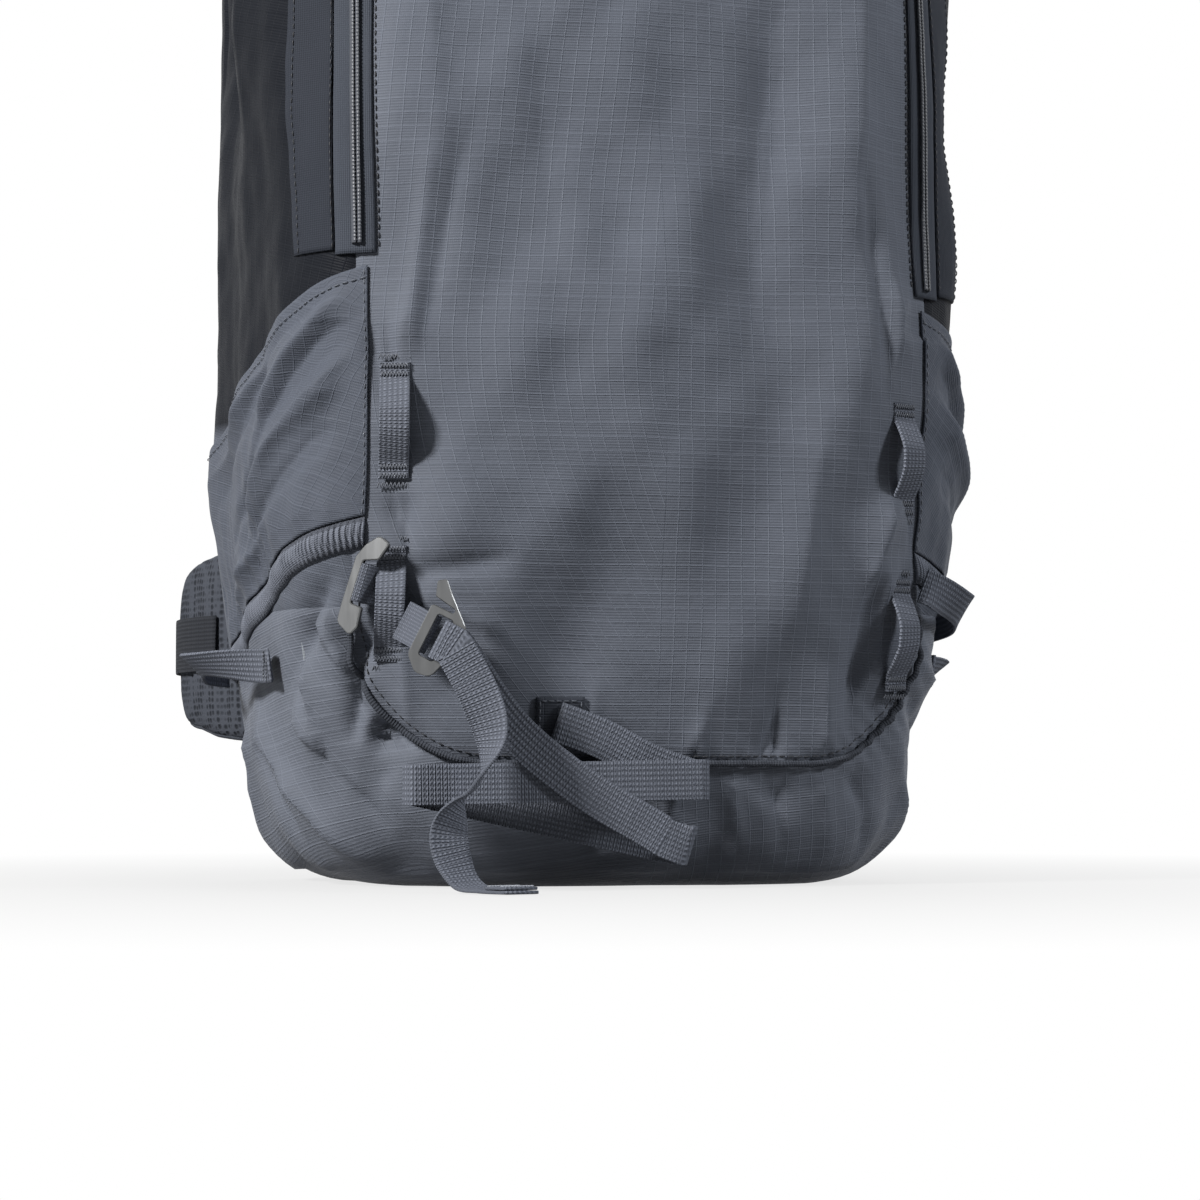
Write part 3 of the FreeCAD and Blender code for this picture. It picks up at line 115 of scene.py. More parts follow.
# ends of each fold on the cloth, its half width and its height; a negative height is a crease
FOLDS = [((-137, -41, 84), (-95, -77, 19), 4.2, 2.3), ((-139, 10, 77), (-116, -56, 17), 4.5, 2.0),
         ((-136, -54, 101), (-119, -67, 46), 4.5, 2.4), ((-125, -78, 128), (-138, -34, 72), 7, -3.4),
         ((-113, -85, 110), (-119, -70, 56), 5.0, -4.2), ((-114, -77, 64), (-88, -89, 54), 3.8, -3.2),
         ((-131, -69, 117), (-114, -79, 72), 4.5, 2.9), ((-130, -56, 62), (-102, -73, 22), 5, -2.0),
         ((-134, -20, 50), (-106, -62, 10), 5, 1.9), ((-137, 20, 60), (-122, -30, 12), 6, -1.9),
         ((-108, -82, 44), (-84, -82, 16), 4, 1.6), ((-120, -74, 100), (-104, -84, 62), 4, 1.8),
         ((-103, -91, 108), (-98, -88, 56), 5, 1.7), ((-95, -94, 112), (-72, -97, 62), 7, -1.6),
         ((-104, -92, 124), (-58, -102, 132), 5, -1.9), ((-103, -92, 116), (-62, -100, 102), 4.5, 1.6),
         ((-105, -93, 158), (-97, -96, 122), 4, -1.5), ((-102, -95, 208), (-92, -99, 300), 5, 1.3),
         ((-98, -96, 205), (-76, -102, 320), 6, -1.2), ((-112, -92, 230), (-108, -95, 150), 4, -1.5),
         ((-100, -98, 470), (-88, -100, 260), 12, 1.3), ((-60, -103, 440), (-40, -107, 220), 16, -1.1),
         ((100, -95, 136), (99, -88, 72), 5, 2.2), ((93, -94, 128), (84, -92, 52), 6, -2.2),
         ((102, -92, 96), (80, -97, 60), 4.5, 1.6), ((111, -88, 120), (113, -84, 74), 4.5, -2.8),
         ((102, -95, 162), (86, -99, 106), 5, 1.5), ((101, -96, 194), (86, -100, 310), 5, -1.5),
         ((106, -95, 250), (99, -98, 200), 4.5, 1.4), ((112, -92, 188), (114, -90, 130), 4, -1.9),
         ((92, -96, 460), (84, -101, 240), 12, 1.5), ((60, -101, 400), (34, -108, 190), 15, -1.2),
         ((70, -99, 200), (52, -101, 90), 12, 1.3), ((112, -82, 98), (138, -20, 74), 6, 2.4),
         ((112, -80, 84), (132, -20, 44), 6, -2.4), ((108, -78, 66), (118, -30, 16), 6, 2.0),
         ((15, -96, 49), (22, -99, 80), 4, 1.3), ((48, -93, 49), (52, -98, 84), 4, -1.5),
         ((74, -90, 50), (72, -98, 90), 4.5, 1.5), ((-30, -96, 49), (-24, -101, 86), 4, 1.0),
         ((30, -94, 47), (40, -84, 12), 4.5, 2.0), ((50, -93, 47), (58, -82, 12), 4.5, -2.0),
         ((70, -90, 48), (80, -74, 12), 5, 2.2), ((86, -88, 50), (98, -62, 12), 5.5, -2.2),
         ((4, -95, 46), (6, -86, 12), 5, 1.6), ((-18, -95, 47), (-24, -85, 12), 5, -1.6),
         ((120, -20, 30), (60, -74, 8), 6, 1.6), ((140, 30, 130), (136, 60, 60), 8, 1.8),
         ((-140, 30, 70), (-130, 60, 16), 8, 1.8), ((-149, -20, 470), (-149, -10, 270), 14, 2.2),
         ((149, -20, 470), (149, -10, 270), 14, 2.2), ((-149, 40, 460), (-149, 30, 240), 16, -1.8),
         ((149, 40, 440), (149, 36, 240), 16, -1.8), ((-60, -60, 560), (20, -62, 566), 12, -2.2),
         ((90, -30, 566), (40, 60, 578), 12, -2.0), ((-95, -20, 560), (-50, 60, 578), 12, 1.8)]
# fittings that the cloth lies flat under: place and reach
FLAT = [((-107, -93, 185), 17), ((107, -93, 175), 17), ((-107, -89, 113), 15), ((107, -87, 103), 17),
        ((-121, -80, 408), 20), ((121, -80, 408), 20), ((-122, -90, 122), 16), ((-94, -100, 98), 16),
        ((-40, -98, 67), 14), ((0, 92, 545), 40), ((-58, 92, 545), 24), ((58, 92, 545), 24),
        ((-50, 16, 580), 20), ((131, 90, 160), 20), ((-131, 90, 160), 20), ((143, 65, 90), 16),
        ((-143, 65, 90), 16), ((136, -34, 90), 16), ((-136, -34, 90), 16), ((118, -85, 124), 10)]


FOLD_SCALE, WING_FOLD_SCALE = 2.9, 1.5    # how much deeper the folds are built than they are listed


def relief(p):
    """How far the cloth stands off the plain surface at the points, along the normal."""
    n = outward(p)
    long_way = p * np.array([1.0, 1.0, 0.55])
    out = 3.4 * ripple(long_way, 125, 3) + 3.1 * ripple(long_way, 46, 5) + 0.5 * ripple(p, 19, 8)
    out[p[:, 1] > 60] *= 0.35
    for a, b, width, height in FOLDS:
        a = np.array(a, float)
        way = np.array(b, float) - a
        length = np.linalg.norm(way)
        way /= length
        r = p - a
        t = r @ way
        r = r - np.outer(t, way)
        depth = np.einsum("ij,ij->i", r, n)
        across = np.linalg.norm(r - depth[:, None] * n, axis=1)
        bend = 2.5 * np.sin(t / length * 5 + width)
        ends = np.clip(t / (0.22 * length), 0, 1) * np.clip((length - t) / (0.4 * length), 0, 1)
        share = np.abs(across + bend) / width
        out += FOLD_SCALE * height * np.exp(-share ** 1.3) * ends * np.exp(-(depth / 26) ** 2)
    seam = np.abs(outline_distance(p[:, 0], p[:, 2]))
    foot = np.exp(-seam / 7) * (p[:, 1] < 0) * (p[:, 2] < 130)
    out += foot * (0.9 * np.sin((p[:, 0] + p[:, 2]) * 0.62) + 0.5 * np.sin(p[:, 0] * 0.23 + 1))
    for at, reach in FLAT:
        away = np.linalg.norm(p - np.array(at, float), axis=1)
        out *= 1 - np.exp(-(away / reach) ** 2)
    zip_band = (p[:, 1] < 0) * (p[:, 2] > 225) * np.exp(-(seam / 14) ** 2)
    out *= 1 - 0.75 * zip_band
    out[p[:, 2] < 6] *= 0.1
    strap = np.exp(-((p[:, 2] - 42) / 34) ** 2) * (p[:, 1] < -60)
    return np.where(out > 0, out * (1 - 0.6 * strap), out)


def on_front(x, z, off):
    """Points on the front, off millimetres outside the bag, with the cloth's relief."""
    x, z = np.broadcast_arrays(np.asarray(x, float), np.asarray(z, float))
    flat = np.stack([x.ravel(), front_y(x, z).ravel(), z.ravel()], 1)
    p = np.stack([x.ravel(), front_y(x, z, off).ravel(), z.ravel()], 1)
    return (p + outward(flat) * relief(flat)[:, None]).reshape(x.shape + (3,))


# ---------------------------------------------------------------- materials
class Graph:
    """A material and the few node shorthands that it is written with."""

    def __init__(self, name, roughness=0.7, metallic=0.0, specular=0.4, aniso=0.0):
        self.mat = bpy.data.materials.new(name)
        self.mat.use_nodes = True
        self.tree = self.mat.node_tree
        self.bsdf = self.tree.nodes["Principled BSDF"]
        for key, value in (("Roughness", roughness), ("Metallic", metallic), ("Specular IOR Level", specular),
                           ("Anisotropic", aniso)):
            self.bsdf.inputs[key].default_value = value

    def put(self, kind, values=(), **props):
        node = self.tree.nodes.new("ShaderNode" + kind)
        for key, value in props.items():
            setattr(node, key, value)
        self.feed(node, enumerate(values))
        return node

    def feed(self, node, values):
        """Give each input, by place, its value or the socket that drives it."""
        for i, value in values:
            if isinstance(value, bpy.types.NodeSocket):
                self.tree.links.new(value, node.inputs[i])
            else:
                node.inputs[i].default_value = value

    def calc(self, op, a, b=0.0, c=0.0, clamp=False):
        return self.put("Math", (a, b, c), operation=op, use_clamp=clamp).outputs[0]

    def uv(self, turn=0.0):
        place = self.put("Mapping", (self.put("TexCoord").outputs["UV"],))
        place.inputs["Rotation"].default_value = (0, 0, turn)
        axes = self.put("SeparateXYZ", (place.outputs[0],))
        return axes.outputs[0], axes.outputs[1]

    def wave(self, c, pitch):
        """A sine of that pitch between 0 and 1."""
        turn = self.calc("MULTIPLY", c, 2 * math.pi / pitch)
        return self.calc("MULTIPLY_ADD", self.calc("SINE", turn), 0.5, 0.5)

    def line(self, c, pitch, width):
        """1 along thin lines of that pitch."""
        share = self.calc("FRACT", self.calc("DIVIDE", c, pitch))
        away = self.calc("ABSOLUTE", self.calc("SUBTRACT", share, 0.5))
        return self.calc("MULTIPLY", self.calc("SUBTRACT", away, 0.5 - width / pitch / 2), 2 * pitch / width,
                         clamp=True)

    def noise(self, scale, detail=3.0, stretch=(1, 1, 1)):
        place = self.put("Mapping", (self.put("TexCoord").outputs["Object"],))
        place.inputs["Scale"].default_value = stretch
        node = self.put("TexNoise", (place.outputs[0],))
        node.inputs["Scale"].default_value = scale
        node.inputs["Detail"].default_value = detail
        return node.outputs[0]

    def blend(self, factor, a, b):
        node = self.put("Mix", data_type="RGBA")
        self.feed(node, ((0, factor), (6, a), (7, b)))
        return node.outputs[2]

    def done(self, colour, height=None, depth=0.0003, strength=0.6, rough=None):
        self.tree.links.new(colour, self.bsdf.inputs["Base Color"])
        if rough is not None:
            self.tree.links.new(rough, self.bsdf.inputs["Roughness"])
        if height is not None:
            bump = self.put("Bump")
            bump.inputs["Strength"].default_value = strength
            bump.inputs["Distance"].default_value = depth
            self.tree.links.new(height, bump.inputs["Height"])
            self.tree.links.new(bump.outputs[0], self.bsdf.inputs["Normal"])
        return self.mat


def tone(r, g, b, scale=1.0):
    """A display colour (0-255) as a linear one."""
    return tuple(scale * ((c / 255 + 0.055) / 1.055) ** 2.4 for c in (r, g, b)) + (1.0,)


def ripstop(name, base, turn=0.0, rib=1.0, dark_above=None):
    """Coated ripstop: a grid of thicker threads over a fine rib, with patches of painted shade and light."""
    g = Graph(name, roughness=0.5, specular=0.05)
    u, v = g.uv(turn)
    wander = g.calc("MULTIPLY", g.calc("SUBTRACT", g.noise(22, 1), 0.5), 0.0016)
    u, v = g.calc("ADD", u, wander), g.calc("SUBTRACT", v, wander)
    grid = g.calc("MAXIMUM", g.line(u, 0.0056, 0.0007), g.line(v, 0.0056, 0.0007))
    weave = g.calc("MULTIPLY", g.wave(v, 0.0011), g.calc("MULTIPLY_ADD", g.wave(u, 0.0008), 0.4, 0.6))
    # patches of painted shade and light: random blotches take the colour from 0.84 to 1.16 of its base,
    # standing in for the shading of the folds; they also vary the roughness
    painted_shade_patches = g.noise(17, 4)
    speck = g.noise(900, 2)
    colour = g.blend(painted_shade_patches, tone(*base, 0.84), tone(*base, 1.16))
    colour = g.blend(g.calc("MULTIPLY", weave, 0.22 * rib), colour, tone(*[c * 1.3 for c in base]))
    colour = g.blend(g.calc("MULTIPLY", grid, 0.27), colour, tone(*[min(c * 1.42, 255) for c in base]))
    if dark_above:
        level = g.put("SeparateXYZ", (g.put("TexCoord").outputs["Object"],)).outputs[2]
        up = g.calc("MULTIPLY", g.calc("SUBTRACT", level, dark_above), 150, clamp=True)
        colour = g.blend(g.calc("MULTIPLY", up, 0.97), colour, tone(17, 19, 24))
    height = g.calc("ADD", g.calc("MULTIPLY", grid, 0.8), g.calc("MULTIPLY", weave, 0.5))
    height = g.calc("ADD", height, g.calc("MULTIPLY", speck, 0.3))
    height = g.calc("ADD", height, g.calc("MULTIPLY", g.noise(70, 5), 3.2))
    rough = g.calc("MULTIPLY_ADD", painted_shade_patches, 0.24, 0.42)
    return g.done(colour, height, 0.00042, 0.55, rough)


def woven(name, base, pitch=0.0021, ribs=0.0019, strength=0.9):
    """Webbing: ribs across, crossed by rows of a basket weave."""
    g = Graph(name, roughness=0.72, specular=0.05)
    u, v = g.uv()
    checks = g.calc("MULTIPLY", g.wave(u, pitch * 0.7), g.wave(v, pitch))
    rib = g.wave(u, ribs * 0.5)
    worn = g.noise(60, 4)
    colour = g.blend(checks, tone(*base, 0.62), tone(*base, 1.5))
    colour = g.blend(g.calc("MULTIPLY", worn, 0.5), colour, tone(*[c * 1.12 for c in base]))
    height = g.calc("ADD", checks, g.calc("MULTIPLY", rib, 0.45))
    height = g.calc("ADD", height, g.calc("MULTIPLY", g.noise(1500, 2), 0.3))
    return g.done(colour, height, 0.0005, strength)


def ribbed(name, base, pitch=0.0013, depth=0.0003):
    g = Graph(name, roughness=0.66, specular=0.05)
    u, v = g.uv()
    rib = g.wave(u, pitch)
    fine = g.wave(v, 0.0009)
    colour = g.blend(g.calc("MULTIPLY_ADD", rib, 0.7, g.calc("MULTIPLY", fine, 0.3)), tone(*base, 0.62),
                     tone(*base, 1.15))
    colour = g.blend(g.calc("MULTIPLY", g.noise(50), 0.35), colour, tone(*base, 1.4))
    return g.done(colour, g.calc("ADD", rib, g.calc("MULTIPLY", fine, 0.4)), depth, 0.7)


def spacer_mesh(name, base):
    """Padded mesh fabric: small round holes in a knitted face."""
    g = Graph(name, roughness=0.9, specular=0.04)
    cells = g.put("TexVoronoi", (g.put("TexCoord").outputs["Object"],))
    cells.inputs["Scale"].default_value = 330
    cells.inputs["Randomness"].default_value = 0.18
    hole = g.calc("MULTIPLY", g.calc("SUBTRACT", cells.outputs["Distance"], 0.22), 3.4, clamp=True)
    colour = g.blend(hole, tone(*base, 0.3), tone(*base, 1.15))
    colour = g.blend(g.calc("MULTIPLY", g.noise(24, 4), 0.3), colour, tone(*base, 1.4))
    return g.done(colour, g.calc("ADD", hole, g.calc("MULTIPLY", g.noise(700), 0.4)), 0.0007, 0.8)


def moulded(name, base, roughness=0.45, grain=1600, depth=0.00008):
    g = Graph(name, roughness=roughness, specular=0.5)
    soil = g.noise(45, 5)
    colour = g.blend(soil, tone(*base, 0.8), tone(*base, 1.25))
    rough = g.calc("MULTIPLY_ADD", soil, 0.2, roughness - 0.1)
    return g.done(colour, g.noise(grain, 2), depth, 0.5, rough)


def satin(name, base, roughness=0.34, scratch=0.00005):
    """Brushed metal: streaks along Z, a little handled."""
    g = Graph(name, roughness=roughness, metallic=1.0, specular=0.5, aniso=0.4)
    streaks = g.noise(420, 3, (1.0, 1.0, 0.06))
    marks = g.noise(90, 6)
    colour = g.blend(g.calc("MULTIPLY_ADD", streaks, 0.6, g.calc("MULTIPLY", marks, 0.4)), tone(*base, 0.78),
                     tone(*base, 1.12))
    rough = g.calc("MULTIPLY_ADD", streaks, 0.22, g.calc("MULTIPLY_ADD", marks, 0.14, roughness - 0.16))
    return g.done(colour, streaks, scratch, 0.5, rough)


SLATE = (88, 92, 101)
M = {
    "shell": ripstop("ripstop_shell", SLATE),
    "side": ripstop("ripstop_side", (80, 84, 93), math.radians(15), 1.0, 0.19),
    "wing": ripstop("ripstop_wing", (76, 80, 89), math.radians(28)),
    "base": ripstop("ripstop_base", (90, 94, 103), math.radians(-6)),
    "back": ripstop("ripstop_back", (52, 55, 62), 0.0, 0.7),
    "lining": ripstop("lining_cloth", (120, 124, 130), 0.0, 0.5),
    "web": woven("webbing_basket", (98, 102, 112)),
    "fine_web": woven("webbing_fine", (96, 100, 110), 0.0014, 0.0013, 0.7),
    "black_web": woven("webbing_dark", (46, 48, 53), 0.0018, 0.0016, 0.8),
    "elastic": ribbed("elastic_hem", (104, 108, 118), 0.0016, 0.0004),
    "tape": ribbed("zip_tape_cloth", (62, 66, 74), 0.0009, 0.0002),
    "strip": ribbed("zip_garage_cloth", (45, 48, 55), 0.0011, 0.0002),
    "coil": moulded("zip_coil_nylon", (58, 61, 68), 0.4),
    "binding": ribbed("edge_binding", (60, 63, 70), 0.0012, 0.0003),
    "thread": moulded("thread_grey", (78, 82, 91), 0.6),
    "thread_dark": moulded("thread_dark", (28, 30, 36), 0.6),
    "thread_pale": moulded("thread_pale", (128, 132, 140), 0.6),
    "mesh": spacer_mesh("pad_mesh_cloth", (62, 65, 72)),
    "aluminium": satin("satin_aluminium", (106, 107, 108), 0.38),
    "zip_metal": satin("zip_metal", (88, 90, 94), 0.42),
    "stay": satin("stay_metal", (165, 166, 168), 0.4),
    "plastic": moulded("moulded_black", (34, 35, 38), 0.42),
    "sheet": moulded("sheet_plastic", (150, 152, 150), 0.5, 500, 0.0002),
}


# ---------------------------------------------------------------- mesh helpers
def make(name, verts, faces, mat, uv=None, body="pack", replaces=(), slot=None):
    """A mesh piece from points in millimetres, riding on a body."""
    verts = np.asarray(verts, float).reshape(-1, 3)
    mesh = bpy.data.meshes.new(name)
    mesh.from_pydata((verts / 1000).tolist(), [], [[int(i) for i in f] for f in faces])
    mesh.polygons.foreach_set("use_smooth", [True] * len(mesh.polygons))
    if uv is not None:
        index = np.zeros(len(mesh.loops), int)
        mesh.loops.foreach_get("vertex_index", index)
        layer = mesh.uv_layers.new(name="UVMap")
        layer.data.foreach_set("uv", (np.asarray(uv, float).reshape(-1, 2) / 1000)[index].ravel())
    mesh.materials.append(M[mat])
    piece = bpy.data.objects.new(name, mesh)
    bpy.context.scene.collection.objects.link(piece)
    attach(piece, body)
    if replaces:
        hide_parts(*replaces)
    return piece


def grid_faces(rows, cols, first=0, flip=False, wrap=False):
    faces = []
    for r in range(rows - 1):
        for c in range(cols if wrap else cols - 1):
            d = (c + 1) % cols
            low, high = first + r * cols, first + (r + 1) * cols
            f = [low + c, low + d, high + d, high + c]
            faces.append(f[::-1] if flip else f)
    return faces


def run_length(points, axis):
    step = np.linalg.norm(np.diff(points, axis=axis), axis=2)
    pad = [(1, 0), (0, 0)] if axis == 0 else [(0, 0), (1, 0)]
    return np.cumsum(np.pad(step, pad), axis=axis)


def slab(name, top, bottom, mat, **kw):
    """A closed layer between two grids of points (rows, columns, 3)."""
    rows, cols = top.shape[:2]
    n = rows * cols
    verts = np.concatenate([top.reshape(-1, 3), bottom.reshape(-1, 3)])
    faces = grid_faces(rows, cols) + grid_faces(rows, cols, n, True)
    rim = (list(range(cols)) + [r * cols + cols - 1 for r in range(1, rows)]
           + [(rows - 1) * cols + c for c in range(cols - 2, -1, -1)]
           + [r * cols for r in range(rows - 2, 0, -1)])
    for a, b in zip(rim, rim[1:] + rim[:1]):
        faces.append([b, a, a + n, b + n])
    uv = np.stack([run_length(top, 1), run_length(top, 0)], 2).reshape(-1, 2)
    return make(name, verts, faces, mat, np.concatenate([uv, uv]), **kw)


def smooth_points(points, steps=6):
    """Points of a Catmull-Rom curve through the given ones."""
    p = np.asarray(points, float)
    out = []
    for i in range(len(p) - 1):
        a, b, c, d = p[max(i - 1, 0)], p[i], p[i + 1], p[min(i + 2, len(p) - 1)]
        for t in np.arange(steps) / steps:
            out.append(0.5 * (2 * b + (c - a) * t + (2 * a - 5 * b + 4 * c - d) * t * t
                              + (3 * b - a - 3 * c + d) * t ** 3))
    return np.array(out + [p[-1]])


def unit(v):
    v = np.asarray(v, float)
    return v / np.maximum(np.linalg.norm(v, axis=-1, keepdims=True), 1e-12)


def sweep(name, line, across, width, thickness, mat, power=9.0, count=28, round_ends=0.0, **kw):
    """A strip or pad along a line: a superellipse section, width along across."""
    line = np.asarray(line, float)
    n = len(line)
    along = unit(np.gradient(line, axis=0))
    wide = np.broadcast_to(np.asarray(across, float), (n, 3))
    wide = unit(wide - along * np.einsum("ij,ij->i", wide, along)[:, None])
    out = np.cross(along, wide)
    width, thickness = (np.broadcast_to(v, (n,)).astype(float) for v in (width, thickness))
    s = np.concatenate([[0], np.cumsum(np.linalg.norm(np.diff(line, axis=0), axis=1))])
    if round_ends:
        near = np.clip(np.minimum(s, s[-1] - s), 0, round_ends)
        tuck = round_ends - np.sqrt(np.maximum(round_ends ** 2 - (round_ends - near) ** 2, 0))
        width = np.maximum(width - 2 * tuck, 1.0)
        thickness = thickness * np.clip(0.35 + 0.65 * np.sqrt(np.clip(near / (0.5 * round_ends), 0, 1)), 0, 1)
    t = 2 * np.pi * (np.arange(count) + 0.5) / count
    cx = np.sign(np.cos(t)) * np.abs(np.cos(t)) ** (2 / power)
    cy = np.sign(np.sin(t)) * np.abs(np.sin(t)) ** (2 / power)
    verts = (line[:, None] + wide[:, None] * (cx[None, :, None] * width[:, None, None] / 2)
             + out[:, None] * (cy[None, :, None] * thickness[:, None, None] / 2))
    uv = np.stack([np.broadcast_to(s[:, None], (n, count)), cx[None] * width[:, None] / 2], 2)
    faces = grid_faces(n, count, wrap=True)
    faces.append(list(range(count))[::-1])
    faces.append([(n - 1) * count + i for i in range(count)])
    return make(name, verts, faces, mat, uv, **kw)


def strap(name, points, across, width, mat="web", steps=6, **kw):
    """Webbing along a smooth line through a few points."""
    if not isinstance(across[0], (tuple, list, np.ndarray)):
        across = [across] * len(points)
    return sweep(name, smooth_points(points, steps), smooth_points(across, steps), width, WEB, mat,
                 slot="webbing", **kw)


def tubes(name, lines, radius, mat, sides=6, **kw):
    """Round threads or cords along several lines, as one piece."""
    verts, faces, uv = [], [], []
    for line in lines:
        line = np.asarray(line, float)
        along = unit(np.gradient(line, axis=0))
        seed = np.array([0.0, 0.0, 1.0]) if abs(along[0, 2]) < 0.8 else np.array([1.0, 0.0, 0.0])
        first = len(verts)
        s = 0.0
        for i, p in enumerate(line):
            a = unit(seed - along[i] * (seed @ along[i]))
            b = np.cross(along[i], a)
            seed = a
            s += 0 if i == 0 else np.linalg.norm(p - line[i - 1])
            small = 0.55 if i in (0, len(line) - 1) else 1.0
            for k in range(sides):
                t = 2 * math.pi * k / sides
                verts.append(p + (a * math.cos(t) + b * math.sin(t)) * radius * small)
                uv.append((s, radius * t))
        faces += grid_faces(len(line), sides, first, wrap=True)
        faces.append([first + k for k in range(sides)][::-1])
        faces.append([first + (len(line) - 1) * sides + k for k in range(sides)])
    return make(name, verts, faces, mat, uv, **kw)


def stitch_runs(path, normals, stitch=2.6, gap=1.1, lift=0.25):
    """Short raised stitches along a dense path."""
    path, normals = np.asarray(path, float), np.asarray(normals, float)
    s = np.concatenate([[0], np.cumsum(np.linalg.norm(np.diff(path, axis=0), axis=1))])
    lines = []
    for start in np.arange(0.5, s[-1] - stitch, stitch + gap):
        at = start + stitch * np.array([0.0, 0.25, 0.5, 0.75, 1.0])
        p = np.stack([np.interp(at, s, path[:, k]) for k in range(3)], 1)
        n = np.stack([np.interp(at, s, normals[:, k]) for k in range(3)], 1)
        lines.append(p + n * (lift * np.array([-0.6, 0.7, 1.0, 0.7, -0.6]))[:, None])
    return lines


def zigzag(centre, along, across, out, length, width, turns, lift=0.35):
    """One bartack: a dense zigzag of thread over a patch of webbing."""
    centre, along, across, out = (np.asarray(v, float) for v in (centre, along, across, out))
    t = np.linspace(0, 1, turns * 2 + 1)
    side = np.where(np.arange(len(t)) % 2 == 0, -0.5, 0.5)
    line = centre + along * ((t - 0.5) * length)[:, None] + across * (side * width)[:, None] + out * lift
    fine = [line[0]]
    for a, b in zip(line[:-1], line[1:]):
        fine += [a + (b - a) * 0.35, a + (b - a) * 0.65, b]
    return fine


# ---------------------------------------------------------------- the bag: a lofted surface, cut at its seams
def make_bag():
    cols = 500
    walls = [BASE_ROUND * (1 - math.cos(a)) for a in np.linspace(0, math.pi / 2, 14)]
    for start, stop, step in ((32.5, 50, 2.5), (50, SIDE_FOOT, 2.0), (SIDE_FOOT, TOP_SEAM, 2.5)):
        walls += list(np.arange(start, stop, step))
    walls = [z for z in walls if abs(z - TOP_SEAM) > 1] + [TOP_SEAM, TOP_SEAM + 3.0]
    walls += [HEIGHT - TOP_ROUND * (1 - math.cos(a)) for a in np.linspace(math.pi / 2 - 0.03, 0, 34)]
    rings = []
    for z in walls:
        half, front, back = (float(v) for v in plan_at(z))
        t = np.linspace(-math.pi / 2, 1.5 * math.pi, 2881)
        c, s = np.cos(t), np.sin(t)
        power = np.where(s > 0, BACK_POWER, FRONT_POWER)
        depth = np.where(s > 0, back, front)
        x = half * np.sign(c) * np.abs(c) ** (2 / power)
        y = depth * np.sign(s) * np.abs(s) ** (2 / power)
        run = np.concatenate([[0], np.cumsum(np.hypot(np.diff(x), np.diff(y)))])
        at = np.linspace(0, run[-1], cols + 1)
        rings.append((np.stack([np.interp(at, run, x), np.interp(at, run, y), np.full(cols + 1, z)], 1), at))
    points = [rings[0][0] * [k, k, 1] for k in (0.0, 0.25, 0.5, 0.72, 0.88, 0.96)]
    arcs = [rings[0][1] * k for k in (0.0, 0.25, 0.5, 0.72, 0.88, 0.96)]
    points += [r[0] for r in rings]
    arcs += [r[1] for r in rings]
    points += [rings[-1][0] * [k, k, 1] for k in (0.96, 0.88, 0.72, 0.5, 0.25, 0.0)]
    arcs += [rings[-1][1] * k for k in (0.96, 0.88, 0.72, 0.5, 0.25, 0.0)]
    p = np.array(points)
    level = np.cumsum(np.pad(np.linalg.norm(np.diff(p[:, cols // 4], axis=0), axis=1), (1, 0)))
    uv = np.stack([np.array(arcs), np.broadcast_to(level[:, None], p.shape[:2])], 2).reshape(-1, 2)
    rows, wide = p.shape[:2]
    p = p.reshape(-1, 3)
    faces = np.array(grid_faces(rows, wide))
    mid = p[faces].mean(1)
    front = (mid[:, 1] < 0) & (outline_distance(mid[:, 0], mid[:, 2]) < 0)
    back_args = (112.0, 40.0, 490.0, 30.0, 30.0)
    back = (mid[:, 1] > 0) & (outline_distance(mid[:, 0], mid[:, 2], *back_args) < 0)
    label = np.where(front, 0, np.where(back, 1, np.where(mid[:, 2] < SIDE_FOOT, 2, np.where(
        mid[:, 2] > TOP_SEAM, 3, np.where(mid[:, 0] < 0, 4, 5)))))
    for kind, args, sign in ((0, (), -1), (1, back_args, 1)):
        inside, outside = np.zeros(len(p), bool), np.zeros(len(p), bool)
        inside[faces[label == kind].ravel()] = True
        outside[faces[label != kind].ravel()] = True
        rim = np.where(inside & outside)[0]
        for _ in range(3):
            x, z = p[rim, 0], p[rim, 2]
            d = outline_distance(x, z, *args)
            gx = (outline_distance(x + 0.2, z, *args) - outline_distance(x - 0.2, z, *args)) / 0.4
            gz = (outline_distance(x, z + 0.2, *args) - outline_distance(x, z - 0.2, *args)) / 0.4
            p[rim, 0], p[rim, 2] = x - d * gx, z - d * gz
        if sign < 0:
            p[rim, 1] = front_y(p[rim, 0], p[rim, 2])
    n = outward(p)
    plain = p[:, 2].copy()
    seam = np.minimum(np.abs(outline_distance(p[:, 0], p[:, 2])) + np.where(p[:, 1] < 0, 0, 99),
                      np.minimum(np.abs(p[:, 2] - SIDE_FOOT), np.abs(p[:, 2] - TOP_SEAM))
                      + np.where((p[:, 1] < 0) & (outline_distance(p[:, 0], p[:, 2]) < 0), 99, 0))
    p = p + n * (relief(p) - 0.8 * np.exp(-(seam / 1.6) ** 2))[:, None]
    p[:, 2] = np.maximum(p[:, 2], np.where(plain < 1, 0.0, 0.2))
    names = (("panel_front", "front_panel", "shell"), ("panel_back", "back_panel", "back"),
             ("panel_bottom", "bottom_panel", "base"), ("panel_top", "top_panel", "shell"),
             ("panel_side_left", "side_panel_left", "side"), ("panel_side_right", "side_panel_right", "side"))
    for kind, (name, node, mat) in enumerate(names):
        mine = faces[label == kind]
        used, new = np.unique(mine, return_inverse=True)
        slot = "dark_cloth" if node == "back_panel" else "shell_cloth"
        make(name, p[used], new.reshape(mine.shape), mat, uv[used], replaces=[node], slot=slot)


